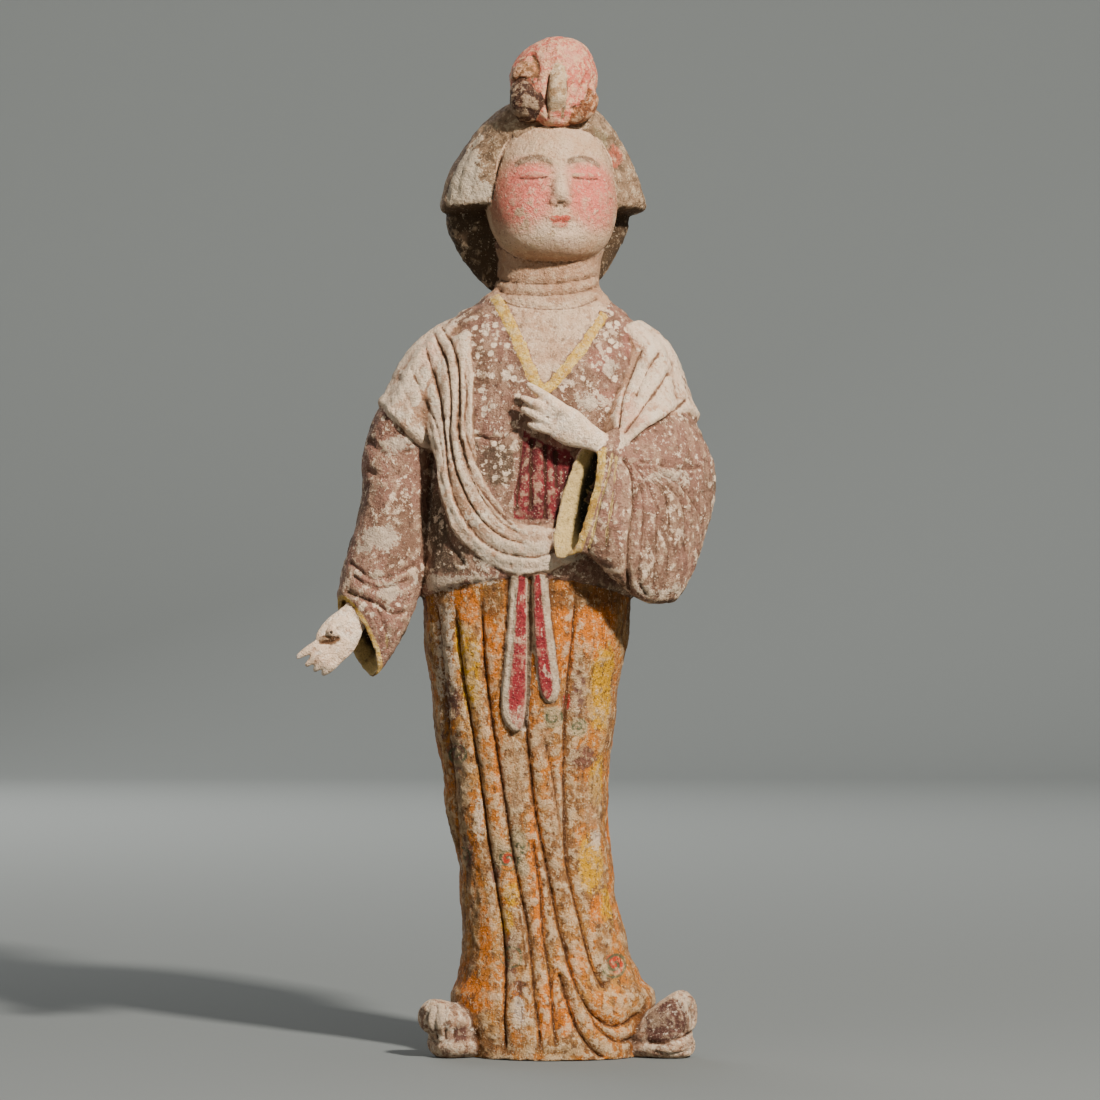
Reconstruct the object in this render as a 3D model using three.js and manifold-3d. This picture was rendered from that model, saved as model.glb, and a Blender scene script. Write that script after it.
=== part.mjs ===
// A standing court lady in painted pottery, modelled as the one piece of fired clay that she is.
// Her right hand is lowered and open, her left hand is raised to her chest inside a wide sleeve, a shawl
// lies over both shoulders, and the upturned toes of her shoes show at the two ends of the skirt's hem.
// Millimetres, +Z up. She faces -Y, and the origin is the middle of her flat underside.

import * as THREE from "three";
import { mergeVertices } from "three/addons/utils/BufferGeometryUtils.js";
import Module from "manifold-3d";

// Driving dimensions, in millimetres.
const figureHeight = 520;
const foldDepth = 2.5; // how deep the skirt's grooves are cut
const backFoldDepth = 1.7; // the broader, plainer folds behind
const jacketOverhang = 2.6; // how far the jacket's hem stands out over the skirt
const shawlThickness = 3.2;
const shawlFoldDepth = 1.5;
const sashThickness = 2.2;
const collarThickness = 1.2;
const sleeveFoldDepth = 2.4;
const mouthWall = 2.4; // the clay left round the hollow mouth of a sleeve
const mouthDepth = 13;
const fingerWidth = 4.4;

// Her proportions are kept in thousandths of her height, and every table below is in that unit.
const share = figureHeight / 1000;
const inShares = (millimetres) => millimetres / share;

const wasm = await Module();
wasm.setup();

// Values that run smoothly through the rows of a table. A row is [place, value, value, ...].
function track(rows) {
  const slope = (k, column) => {
    const before = rows[Math.max(k - 1, 0)];
    const after = rows[Math.min(k + 1, rows.length - 1)];
    return (after[column] - before[column]) / (after[0] - before[0]);
  };
  return (place) => {
    let k = 0;
    while (k < rows.length - 2 && place > rows[k + 1][0]) k++;
    const [low, high] = [rows[k], rows[k + 1]];
    const span = high[0] - low[0];
    const t = THREE.MathUtils.clamp((place - low[0]) / span, 0, 1);
    return low.slice(1).map((start, index) => {
      const column = index + 1;
      const rise = high[column] - start;
      const ease = t * t * (3 - 2 * t);
      const bend = t * (1 - t) * ((1 - t) * slope(k, column) - t * slope(k + 1, column)) * span;
      return start + ease * rise + bend;
    });
  };
}

// A closed skin over a stack of rings with the same number of points, with a fan over each end.
function skin(rings) {
  const sides = rings[0].length;
  const middle = (ring) => ring.reduce((sum, p) => sum.add(p), new THREE.Vector3()).divideScalar(sides);
  const points = [...rings.flat(), middle(rings[0]), middle(rings.at(-1))];
  const triangles = [];
  for (let row = 0; row + 1 < rings.length; row++) {
    for (let k = 0; k < sides; k++) {
      const [a, b] = [row * sides + k, row * sides + ((k + 1) % sides)];
      triangles.push(a, b, b + sides, a, b + sides, a + sides);
    }
  }
  const last = (rings.length - 1) * sides;
  for (let k = 0; k < sides; k++) {
    const next = (k + 1) % sides;
    triangles.push(next, k, points.length - 2, last + k, last + next, points.length - 1);
  }
  return new THREE.BufferGeometry().setFromPoints(points).setIndex(triangles);
}

// A solid from a closed geometry in shares, whichever way its faces were wound.
function solid(geometry) {
  const bare = new THREE.BufferGeometry().setAttribute("position", geometry.getAttribute("position").clone());
  bare.setIndex(geometry.index).scale(share, share, share);
  const merged = mergeVertices(bare, 1e-4);
  const wind = (turned) => {
    const triVerts = new Uint32Array(merged.index.array);
    for (let i = 0; turned && i < triVerts.length; i += 3) {
      [triVerts[i + 1], triVerts[i + 2]] = [triVerts[i + 2], triVerts[i + 1]];
    }
    return new wasm.Manifold(
      new wasm.Mesh({ numProp: 3, vertProperties: merged.attributes.position.array, triVerts }),
    );
  };
  const made = wind(false);
  return made.volume() > 0 ? made : wind(true);
}

// A loft through ovals. Each key is [centre, first half axis, second half axis], and a boxiness over 2
// squares the section's corners. relief(turn, along) pushes a point out, in shares.
function ovals(keys, { sides = 14, rows = 10, boxiness = 2, relief = null } = {}) {
  const [centres, across, deep] = [0, 1, 2].map((part) => {
    const places = keys.map((key) => new THREE.Vector3(...key[part]));
    return new THREE.CatmullRomCurve3(places, false, "catmullrom", 0.5);
  });
  const squared = (x) => Math.sign(x) * Math.abs(x) ** (2 / boxiness);
  const rings = Array.from({ length: rows + 1 }, (_, row) => {
    const along = row / rows;
    const [centre, u, v] = [centres, across, deep].map((curve) => curve.getPoint(along));
    return Array.from({ length: sides }, (_, k) => {
      const turn = (k / sides) * 2 * Math.PI;
      const arm = u.clone().multiplyScalar(squared(Math.cos(turn)));
      arm.addScaledVector(v, squared(Math.sin(turn)));
      if (relief) arm.setLength(arm.length() + relief(turn, along));
      return arm.add(centre);
    });
  });
  return skin(rings);
}

// Keys with both half axes made longer by the same amount.
const grown = (keys, amount) =>
  keys.map(([centre, ...axes]) => [
    centre,
    ...axes.map((axis) => {
      const arm = new THREE.Vector3(...axis);
      return arm.setLength(arm.length() + amount).toArray();
    }),
  ]);

// The body: height, middle of the width, half width, reach to the front, reach to the back.
const bodyTrack = track([
  [0, -4, 90, 86, 82],
  [20, -4, 93, 84, 80],
  [56, -6, 97, 79, 74],
  [76, -9, 89, 75, 70],
  [106, -13, 82, 72, 67],
  [165, -21, 77, 69, 63],
  [254, -31, 81, 71, 61],
  [343, -33, 91, 78, 64],
  [432, -31, 102, 86, 70],
  [500, -28, 103, 90, 77],
  [545, -24, 102, 89, 80],
  [590, -20, 102, 86, 82],
  [635, -18, 103, 82, 83],
  [665, -17, 104, 76, 82],
  [690, -17, 104, 68, 77],
  [705, -17, 102, 60, 72],
  [718, -17, 95, 53, 64],
  [730, -15, 83, 48, 57],
  [742, -13, 65, 44, 50],
  [756, -10, 52, 42, 45],
  [775, -9, 49, 41, 42],
  [800, -8, 48, 38, 38],
]);
const bodyBoxiness = 2.35;
const nearTheSide = 0.99; // bands laid on the body stop here, as a share of its half width

// How deep the body's ring stands at a place across it, from -1 to 1.
const bulge = (off) => Math.max(0, 1 - Math.abs(off) ** bodyBoxiness) ** (1 / bodyBoxiness);

// A point on the body's front or back, from its x and its height.
function onBody(x, height, behind = false) {
  const [middle, half, front, back] = bodyTrack(height);
  const off = Math.min(Math.abs(x - middle) / half, nearTheSide);
  return new THREE.Vector3(x, bulge(off) * (behind ? back : -front), height);
}

// A flat band laid on the body. Each stop is [x, height, half width].
function laidBand(stops, thickness, { behind = false, sides = 8, rows = 6, relief = null } = {}) {
  const keys = stops.map(([x, height, halfWidth], k) => {
    const before = stops[Math.max(k - 1, 0)];
    const after = stops[Math.min(k + 1, stops.length - 1)];
    const at = onBody(x, height, behind);
    const sideways = onBody(x + 1, height, behind).sub(at);
    const upward = onBody(x, height + 1, behind).sub(at);
    const out = sideways.cross(upward).multiplyScalar(behind ? -1 : 1);
    const along = onBody(after[0], after[1], behind).sub(onBody(before[0], before[1], behind));
    const across = along.cross(out).setLength(halfWidth);
    return [at.toArray(), across.toArray(), out.setLength(thickness).toArray()];
  });
  return solid(ovals(keys, { sides, rows, boxiness: 3, relief }));
}

// The skirt's grooves from her right to her left: where each is, as x, at the heights in grooveHeights.
const grooveHeights = [0, 42, 91, 150, 210, 269, 328, 388, 450];
const grooves = [
  [-90, -90, -93, -97, -101, -105, -111, -116, -121],
  [-52, -53, -54, -60, -69, -77, -87, -97, -102],
  [-18, -21, -26, -35, -46, -55, -65, -73, -76],
  [-2, -5, -13, -19, -27, -40, -52, -61, -63],
  [40, 14, 3, -3, -13, -27, -39, -48, -50],
  [66, 38, 14, -4, -15, -26, -31, -29, -29],
  [78, 72, 35, 17, 8, 7, 8, 13, 18],
].map((places) => track(places.map((x, k) => [grooveHeights[k], x])));
// Two of them open only below the knees.
const grooveOpens = [0, 0, 0, 230, 190, 0, 0];
const openingLength = 90; // over which such a groove deepens
const columnsInFlute = 2;
const sideColumns = [1, 0.992]; // the round of each side, as shares of the half width
const outermost = 0.965; // where the flutes begin on each side
const closestColumns = 0.03;
const backColumns = 14;
const backFolds = 5;
const jacketColumns = 30;
const hemHeight = 450;
const hemRise = 20; // how much higher the jacket's hem is at the middle than at the sides
const riseFades = 60; // the height over which that rise dies away
const overhangFades = 240; // and the height over which the overhang does

// A point of a body ring, pushed out from the clay by some shares.
function ringPoint(height, off, behind, push) {
  const [middle, half, front, back] = bodyTrack(height);
  const reach = behind ? back : -front;
  const depth = reach * bulge(off);
  const outward = new THREE.Vector2(off / half, depth / reach ** 2).normalize().multiplyScalar(push);
  return new THREE.Vector3(middle + off * half + outward.x, depth + outward.y, height);
}

// One ring of the skirt. The front's columns follow the grooves, and the back's are evenly turned.
function skirtRing(height) {
  const grooveHeight = Math.min(height, hemHeight);
  const [middle, half] = bodyTrack(grooveHeight);
  const depths = grooveOpens.map((opens) => {
    const strength = opens ? THREE.MathUtils.smoothstep(opens - height, 0, openingLength) : 1;
    return strength * inShares(foldDepth);
  });
  const lines = grooves.map((groove) => (groove(grooveHeight)[0] - middle) / half);
  const shares = [-outermost, ...lines, outermost];
  for (let k = 1; k < shares.length; k++) {
    const room = closestColumns * (shares.length - 1 - k);
    shares[k] = THREE.MathUtils.clamp(shares[k], shares[k - 1] + closestColumns, outermost - room);
  }
  const points = sideColumns.map((off) => ringPoint(height, -off, false, 0));
  for (let k = 0; k + 1 < shares.length; k++) {
    const left = k ? depths[k - 1] : 0;
    const right = k < depths.length ? depths[k] : 0;
    for (let step = 0; step <= columnsInFlute; step++) {
      const t = step / (columnsInFlute + 1);
      const hollow = 1 - Math.sin(Math.PI * t) ** 0.6;
      const sink = hollow * THREE.MathUtils.lerp(left, right, t);
      points.push(ringPoint(height, THREE.MathUtils.lerp(shares[k], shares[k + 1], t), false, -sink));
    }
  }
  points.push(ringPoint(height, outermost, false, 0));
  points.push(...sideColumns.toReversed().map((off) => ringPoint(height, off, false, 0)));
  for (let k = 1; k < backColumns; k++) {
    const turn = (Math.PI * k) / backColumns;
    const sink = inShares(backFoldDepth) * Math.abs(Math.cos(backFolds * turn)) ** 3 * Math.sin(turn);
    points.push(ringPoint(height, Math.cos(turn), true, -sink));
  }
  return points;
}

// One ring of the jacket and the neck. The hem stands out over the skirt and rises towards the middle.
function jacketRing(height, overhang) {
  const nearHem = Math.max(0, 1 - (height - hemHeight) / riseFades);
  return Array.from({ length: jacketColumns }, (_, k) => {
    const turn = Math.PI + (2 * Math.PI * k) / jacketColumns;
    const off = Math.cos(turn);
    const point = ringPoint(height, off, Math.sin(turn) > 0, overhang);
    point.z += hemRise * nearHem * (1 - off * off);
    return point;
  });
}

function body() {
  const skirtHeights = [0, 14, 32, 50, 66, 84, 106, 136, 172, 216, 268, 328, 392, 440, 480];
  const jacketHeights = [450, 456, 480, 530, 590, 640, 675, 697, 712, 724, 736, 750, 770, 800];
  const overhang = inShares(jacketOverhang);
  const jacket = jacketHeights.map((height, k) => {
    const fade = Math.max(0, 1 - (height - hemHeight) / overhangFades);
    return jacketRing(height, overhang * (k ? fade : 0.5));
  });
  return [solid(skin(skirtHeights.map(skirtRing))), solid(skin(jacket))];
}

// The two edges of the jacket's crossed collar, and the two ends of the sash below the hem.
function collar() {
  const edges = [
    [[-60, 744, 5], [-45, 714, 6], [-31, 680, 7], [-16, 647, 7]],
    [[45, 726, 5], [27, 699, 6], [7, 672, 6], [-13, 649, 6]],
  ];
  return edges.map((stops) => laidBand(stops, inShares(collarThickness)));
}

function sash() {
  const ends = [
    [[-38, 480, 6], [-40, 430, 8], [-43, 370, 10], [-45, 316, 11]],
    [[-17, 480, 6], [-14, 430, 8], [-9, 380, 9], [-6, 351, 10]],
  ];
  return ends.map((stops) => laidBand(stops, inShares(sashThickness)));
}

// Her head is built upright round its own middle, then turned a little to her left and tipped back.
const headPlace = new THREE.Matrix4()
  .makeTranslation(-7, -8, 852)
  .multiply(new THREE.Matrix4().makeRotationZ(THREE.MathUtils.degToRad(8)))
  .multiply(new THREE.Matrix4().makeRotationX(THREE.MathUtils.degToRad(-5)));
const onHead = (geometry) => solid(geometry.applyMatrix4(headPlace));

// Level ovals, from rows of [height, middle x, half width, front y, back y].
const level = (rows) =>
  rows.map(([height, x, half, front, back]) => [
    [x, (front + back) / 2, height],
    [half, 0, 0],
    [0, (back - front) / 2, 0],
  ]);

function head() {
  const skull = level([
    [-77, 0, 12, -24, 4],
    [-70, 0, 34, -46, 16],
    [-56, 0, 51, -58, 34],
    [-36, 0, 61, -63, 50],
    [-12, 0, 66, -65, 60],
    [12, 0, 64, -65, 62],
    [36, 0, 58, -58, 62],
    [56, 0, 46, -44, 52],
    [70, 0, 24, -20, 34],
  ]);
  const nose = [
    [[0, -60, 18], [5, 0, 0], [0, 6, 0]],
    [[0, -65, 0], [6, 0, 0], [0, 7, 0]],
    [[0, -68, -16], [9, 0, 0], [0, 9, 0]],
    [[0, -65, -25], [8, 0, 0], [0, 6, 0]],
  ];
  const eyelid = (side) => [
    [[side * 12, -61, 3], [0, 2, 1], [0, 0, 2]],
    [[side * 25, -59, 4], [0, 5, 0], [0, 0, 6]],
    [[side * 39, -50, 4], [0, 2, 1], [0, 0, 2]],
  ];
  const lip = (height) => [
    [[-12, -58, height], [0, 3, 0], [0, 0, 2]],
    [[0, -62, height], [0, 6, 0], [0, 0, 4]],
    [[12, -58, height], [0, 3, 0], [0, 0, 2]],
  ];
  const details = [eyelid(-1), eyelid(1), lip(-38), lip(-44)];
  return [
    onHead(ovals(skull, { sides: 18, rows: 10 })),
    onHead(ovals(nose, { sides: 8, rows: 5 })),
    ...details.map((keys) => onHead(ovals(keys, { sides: 6, rows: 4 }))),
  ];
}

// Her hair: wings that frame the face, the fall behind the neck, and the knot over the forehead.
function hair() {
  const wings = level([
    [-28, -5, 84, -4, 56],
    [-22, -5, 99, -22, 70],
    [-6, -5, 102, -30, 79],
    [18, -5, 94, -33, 83],
    [42, -4, 81, -37, 81],
    [66, -3, 63, -41, 70],
    [83, -2, 43, -36, 54],
    [94, 0, 20, -18, 32],
  ]);
  const fall = level([
    [-101, -12, 28, 16, 38],
    [-96, -12, 44, 8, 46],
    [-77, -12, 62, 2, 60],
    [-53, -12, 77, 0, 70],
    [-30, -9, 91, 0, 77],
    [-10, -7, 92, 0, 78],
  ]);
  const knot = level([
    [56, 0, 9, -54, -38],
    [64, -1, 24, -60, -24],
    [78, -1, 36, -62, -10],
    [94, -1, 42, -62, 0],
    [110, 0, 43, -60, 6],
    [126, 2, 38, -56, 8],
    [139, 4, 27, -48, 4],
    [147, 5, 11, -34, -8],
  ]);
  const ridge = [
    [[-2, -50, 62], [5, 0, 0], [0, 5, -3]],
    [[-2, -62, 80], [9, 0, 0], [0, 8, 0]],
    [[-1, -61, 102], [8, 0, 0], [0, 7, 2]],
    [[0, -54, 116], [3, 0, 0], [0, 3, 2]],
  ];
  const lobe = [
    [[-26, -46, 62], [9, 0, 0], [0, 9, 0]],
    [[-29, -50, 76], [16, 0, 0], [0, 15, 0]],
    [[-29, -48, 96], [15, 0, 0], [0, 15, 0]],
    [[-26, -42, 110], [7, 0, 0], [0, 8, 0]],
  ];
  return [
    onHead(ovals(wings, { sides: 22, rows: 10, boxiness: 2.4 })),
    onHead(ovals(fall, { sides: 16, rows: 6, boxiness: 2.3 })),
    onHead(ovals(knot, { sides: 14, rows: 9 })),
    onHead(ovals(ridge, { sides: 8, rows: 5 })),
    onHead(ovals(lobe, { sides: 9, rows: 5 })),
  ];
}

// The hollow of a sleeve's mouth: the mouth's own oval, taken in by the wall all round.
function hollow([centre, u, v], boxiness) {
  const wall = inShares(mouthWall);
  const [middle, first, second] = [centre, u, v].map((part) => new THREE.Vector3(...part));
  const out = new THREE.Vector3().crossVectors(first, second).normalize();
  const narrowed = [first, second].map((arm) => arm.clone().setLength(Math.max(arm.length() - wall, wall)));
  const section = (offset) => [
    middle.clone().addScaledVector(out, offset).toArray(),
    ...narrowed.map((arm) => arm.toArray()),
  ];
  const depth = inShares(mouthDepth);
  return solid(ovals([section(depth), section(0), section(-depth)], { sides: 14, rows: 2, boxiness }));
}

// A hand is a palm with fingers. Each finger is [knuckle, tip].
function hand(palm, fingers) {
  const radius = inShares(fingerWidth) / 2;
  const made = fingers.map(([knuckle, tip]) => {
    const [from, to] = [knuckle, tip].map((place) => new THREE.Vector3(...place));
    const along = to.clone().sub(from).normalize();
    const first = new THREE.Vector3().crossVectors(along, new THREE.Vector3(0, 1, 0)).normalize();
    const second = new THREE.Vector3().crossVectors(along, first);
    const keys = [[0, 1], [0.6, 0.95], [1, 0.5]].map(([t, size]) => [
      from.clone().lerp(to, t).toArray(),
      first.clone().multiplyScalar(radius * size).toArray(),
      second.clone().multiplyScalar(radius * size).toArray(),
    ]);
    return solid(ovals(keys, { sides: 6, rows: 2 }));
  });
  return [solid(ovals(palm, { sides: 10, rows: 5 })), ...made];
}

// Her right arm, lowered, in its sleeve. The mouth faces down and out to her right.
function loweredArm() {
  const mouth = [[-196, -43, 410], [-17, 0, 37], [-10, 17, -5]];
  const keys = [
    [[-84, 0, 702], [-26, 0, 14], [0, 30, 0]],
    [[-118, 0, 671], [-26, 0, 16], [0, 38, 0]],
    [[-143, -2, 632], [-30, 0, 12], [0, 41, 0]],
    [[-156, -5, 597], [-35, 0, 3], [0, 40, 0]],
    [[-159, -12, 545], [-35, 0, 1], [0, 38, 0]],
    [[-166, -21, 500], [-39, 0, 1], [-1, 38, 0]],
    [[-174, -29, 465], [-39, 0, 8], [-3, 35, 0]],
    [[-186, -38, 430], [-30, 0, 25], [-7, 27, -2]],
    mouth,
  ];
  const creases = (turn, along) => {
    const bent = Math.sin(along * 40 + 1.6 * Math.cos(turn));
    const fade = THREE.MathUtils.smoothstep(along, 0.3, 0.5);
    return -0.5 * inShares(sleeveFoldDepth) * fade * Math.max(0, bent) ** 3;
  };
  const sleeve = solid(ovals(keys, { sides: 16, rows: 15, boxiness: 2.2, relief: creases }));
  const palm = [
    [[-172, -27, 462], [-9, 0, 8], [0, 8, 0]],
    [[-200, -50, 431], [-11, 0, 10], [0, 8, 0]],
    [[-212, -56, 415], [-14, 0, 12], [0, 7, 0]],
    [[-223, -59, 401], [-13, 0, 11], [0, 6, 0]],
  ];
  const fingers = [
    [[-225, -60, 411], [-254, -64, 392]],
    [[-222, -60, 403], [-246, -60, 384]],
    [[-217, -59, 397], [-238, -58, 379]],
    [[-211, -57, 392], [-230, -56, 375]],
    [[-208, -62, 424], [-229, -69, 414]],
  ];
  return [sleeve.subtract(hollow(mouth, 2.2)), ...hand(palm, fingers)];
}

// Her left arm: the upper arm, and the wide sleeve that hangs from the raised forearm in a fan of folds.
// A row of the sleeve is its top x and height, its bottom x and height, its y, and its reach in x and y.
const fanFolds = 7;
function raisedArm() {
  const upperArm = [
    [[62, 0, 706], [20, 0, 10], [0, 30, 0]],
    [[82, 2, 684], [24, 0, 13], [0, 38, 0]],
    [[97, 0, 650], [31, 0, 8], [0, 38, 0]],
    [[106, -6, 615], [31, 0, 4], [0, 35, 0]],
    [[116, -16, 585], [29, 0, 0], [0, 30, 0]],
    [[122, -26, 560], [22, 0, 0], [0, 18, 0]],
  ];
  const sleeve = [
    [31, 602, 2, 487, -106, 14, -12],
    [50, 612, 26, 493, -102, 9, -22],
    [66, 622, 54, 468, -88, 10, -28],
    [82, 632, 78, 449, -77, 14, -28],
    [97, 636, 98, 444, -67, 18, -26],
    [112, 634, 114, 450, -52, 20, -22],
    [125, 628, 129, 486, -40, 18, -15],
    [138, 608, 144, 524, -30, 11, -8],
    [150, 588, 154, 552, -24, 4, -3],
  ].map(([topX, topZ, bottomX, bottomZ, y, reachX, reachY]) => [
    [(topX + bottomX) / 2, y, (topZ + bottomZ) / 2],
    [(topX - bottomX) / 2, -reachY / 2, (topZ - bottomZ) / 2],
    [reachX, reachY, 0],
  ]);
  const fan = (turn, along) => {
    const fade = THREE.MathUtils.smoothstep(along, 0.04, 0.2) * Math.sqrt(0.5 - 0.5 * Math.cos(turn));
    return -inShares(sleeveFoldDepth) * fade * Math.cos(Math.PI * fanFolds * along) ** 4;
  };
  const drape = solid(ovals(sleeve, { sides: 16, rows: 3 * fanFolds, boxiness: 2.3, relief: fan }));
  const palm = [
    [[52, -98, 598], [2, 0, 13], [4, 9, 0]],
    [[34, -106, 605], [3, 0, 12], [3, 8, 0]],
    [[14, -106, 614], [5, 0, 18], [0, 9, 0]],
    [[-6, -103, 625], [7, 0, 16], [0, 6, 0]],
  ];
  const fingers = [
    [[3, -102, 634], [-29, -99, 653]],
    [[0, -104, 627], [-34, -99, 646]],
    [[-1, -104, 620], [-34, -98, 635]],
    [[2, -102, 613], [-37, -96, 624]],
    [[18, -110, 624], [0, -111, 636]],
  ];
  return [
    solid(ovals(upperArm, { sides: 12, rows: 5 })),
    drape.subtract(hollow(sleeve[0], 2.3)),
    ...hand(palm, fingers),
  ];
}

// The shawl: a cape over each shoulder and upper arm, the swag across her front, and the band behind.
const pleats = (sides, fading = () => 1) => (turn, along) =>
  -inShares(shawlFoldDepth) * fading(along) * (0.5 - 0.5 * Math.cos((turn * sides) / 2));

function shawl() {
  const thickness = inShares(shawlThickness);
  const loweredCape = [
    [[-88, 0, 712], [-13, 0, 9], [0, 32, 0]],
    [[-103, 0, 694], [-22, 0, 14], [0, 38, 0]],
    [[-122, 0, 668], [-25, 0, 17], [0, 42, 0]],
    [[-145, -3, 620], [-22, 0, 20], [0, 42, 0]],
    [[-148, -3, 612], [-18, 0, 17], [0, 38, 0]],
  ];
  const raisedCape = [
    [[68, 0, 713], [10, 0, 6], [0, 30, 0]],
    [[85, -2, 684], [21, 4, 11], [2, 39, 0]],
    [[86, -18, 647], [35, 12, 13], [8, 46, -3]],
    [[90, -44, 604], [38, 24, 29], [13, 48, -8]],
    [[91, -45, 596], [34, 22, 26], [12, 44, -7]],
  ];
  const swag = [
    [[-98, 8, 714], [12, 0, 10], [-2, 0, 5]],
    [[-107, -36, 694], [19, -8, 13], [-2, -5, 2]],
    [[-108, -51, 656], [23, -12, 8], [-3, -5, 0]],
    [[-105, -60, 620], [20, -12, 4], [-3, -5, 0]],
    [[-100, -66, 590], [17, -9, 4], [-3, -5, 0]],
    [[-92, -75, 556], [18, -7, 7], [-3, -6, 0]],
    [[-74, -85, 520], [19, -4, 12], [-2, -6, 0]],
    [[-45, -91, 498], [4, -1, 22], [0, -6, 0]],
    [[-16, -94, 497], [-1, 0, 20], [0, -6, 0]],
    [[8, -94, 504], [-5, 0, 19], [0, -6, 0]],
    [[32, -90, 514], [-6, 0, 16], [1, -6, 0]],
  ];
  const behind = [
    [-98, 684, 24],
    [-62, 656, 38],
    [-14, 640, 44],
    [34, 650, 40],
    [76, 682, 26],
  ];
  const cape = (keys) => solid(ovals(grown(keys, thickness), { sides: 18, rows: 6, relief: pleats(18) }));
  return [
    cape(loweredCape),
    cape(raisedCape),
    solid(ovals(grown(swag, thickness / 2), { sides: 16, rows: 12, boxiness: 2.6, relief: pleats(16) })),
    laidBand(behind, thickness, { behind: true, sides: 14, rows: 7, relief: pleats(14) }),
  ];
}

// The upturned toes of her shoes. side is -1 for her right and 1 for her left.
function shoe(side, sole, toe) {
  const keys = (rows) =>
    rows.map(([reach, height, halfWidth, halfHeight]) => [
      [side * (36 + 0.88 * reach), -6 - 0.46 * reach, height],
      [side * 0.46 * halfWidth, 0.88 * halfWidth, 0],
      [0, 0, halfHeight],
    ]);
  return [sole, toe].map((rows) => solid(ovals(keys(rows), { sides: 10, rows: 4 })));
}

function shoes() {
  const rightSole = [[30, 10, 20, 14], [66, 12, 26, 15], [88, 13, 24, 15], [98, 14, 14, 10]];
  const rightToe = [[54, 30, 18, 16], [80, 36, 26, 18], [98, 39, 24, 18], [109, 39, 13, 11]];
  const leftSole = [[30, 8, 20, 12], [70, 9, 26, 12], [94, 10, 23, 12], [106, 11, 13, 9]];
  const leftToe = [[54, 22, 18, 16], [78, 33, 24, 24], [96, 41, 22, 25], [108, 43, 13, 16]];
  return [...shoe(-1, rightSole, rightToe), ...shoe(1, leftSole, leftToe)];
}

// What reaches below the flat underside is cut away.
function ground() {
  const side = 0.6 * figureHeight;
  const depth = 0.1 * figureHeight;
  const block = new THREE.BoxGeometry(2 * side, 2 * side, depth).translate(0, 0, -depth / 2);
  return solid(block.scale(1 / share, 1 / share, 1 / share));
}

const pieces = [
  ...body(),
  ...collar(),
  ...sash(),
  ...head(),
  ...hair(),
  ...loweredArm(),
  ...raisedArm(),
  ...shawl(),
  ...shoes(),
];
const figure = pieces.reduce((whole, piece) => whole.add(piece)).subtract(ground());

const mesh = figure.getMesh();
const geometry = new THREE.BufferGeometry();
geometry.setAttribute("position", new THREE.BufferAttribute(new Float32Array(mesh.vertProperties), 3));
geometry.setIndex(new THREE.BufferAttribute(new Uint32Array(mesh.triVerts), 1));
geometry.computeVertexNormals();

const paintedClay = new THREE.MeshStandardMaterial({ color: 0xa57c60, roughness: 0.9, metalness: 0 });
const courtLady = new THREE.Mesh(geometry, paintedClay);
courtLady.name = "court_lady";
const part = new THREE.Group();
part.add(courtLady);

export default part;
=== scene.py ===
# A standing court lady in worn painted pottery.
# Her forms are closed lofts, in thousandths of her height. They are joined into one skin, and the skin
# is carved along curves seen from the front. The paint is laid by fields stored on the skin's points.

import math

import bpy
import numpy as np
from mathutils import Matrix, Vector, noise
from mathutils.bvhtree import BVHTree


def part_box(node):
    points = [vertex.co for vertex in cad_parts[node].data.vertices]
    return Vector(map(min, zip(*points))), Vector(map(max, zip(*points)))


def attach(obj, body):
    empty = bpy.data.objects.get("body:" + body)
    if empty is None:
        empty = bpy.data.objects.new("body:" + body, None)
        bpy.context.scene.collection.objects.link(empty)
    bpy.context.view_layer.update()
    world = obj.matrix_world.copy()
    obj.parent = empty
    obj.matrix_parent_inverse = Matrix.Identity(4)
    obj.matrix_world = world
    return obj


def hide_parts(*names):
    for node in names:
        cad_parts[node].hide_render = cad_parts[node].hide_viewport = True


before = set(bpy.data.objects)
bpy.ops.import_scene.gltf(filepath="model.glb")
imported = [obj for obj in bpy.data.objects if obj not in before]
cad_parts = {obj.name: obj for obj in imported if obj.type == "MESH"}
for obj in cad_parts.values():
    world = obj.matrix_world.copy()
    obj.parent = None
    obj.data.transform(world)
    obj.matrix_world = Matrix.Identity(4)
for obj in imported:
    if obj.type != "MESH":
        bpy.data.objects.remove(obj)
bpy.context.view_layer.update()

NODE = "court_lady"
LOW, HIGH = (Vector(corner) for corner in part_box(NODE))
CROWN = 1001.4  # the top of the topknot, in thousandths of her height
SHARE = (HIGH.z - LOW.z) / CROWN
MM = 0.001 / SHARE  # a millimetre, in shares

# Where the figure stands in the photograph, in its pixels, and the shares that a pixel covers.
PHOTO_AXIS = 558
PHOTO_GROUND = 1052
PHOTO_SHARE = 0.989

FINE_VOXEL = 0.85
VOXEL = FINE_VOXEL
MOST_TRIANGLES = 190000

LABELS = (
    "skirt jacket lowered_sleeve raised_sleeve lining shawl sash collar hand shoe skull hair knot coil ball "
    "roll ridge"
).split()
LABEL = {name: k for k, name in enumerate(LABELS)}


def seen(points):
    """Photo pixels as x and height in shares."""
    points = np.asarray(points, float)
    return np.stack([(points[:, 0] - PHOTO_AXIS), (PHOTO_GROUND - points[:, 1])], 1) * PHOTO_SHARE


def ramp(value, low, high):
    """A smooth step from 0 to 1."""
    t = np.clip((value - low) / (high - low), 0, 1)
    return t * t * (3 - 2 * t)


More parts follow.
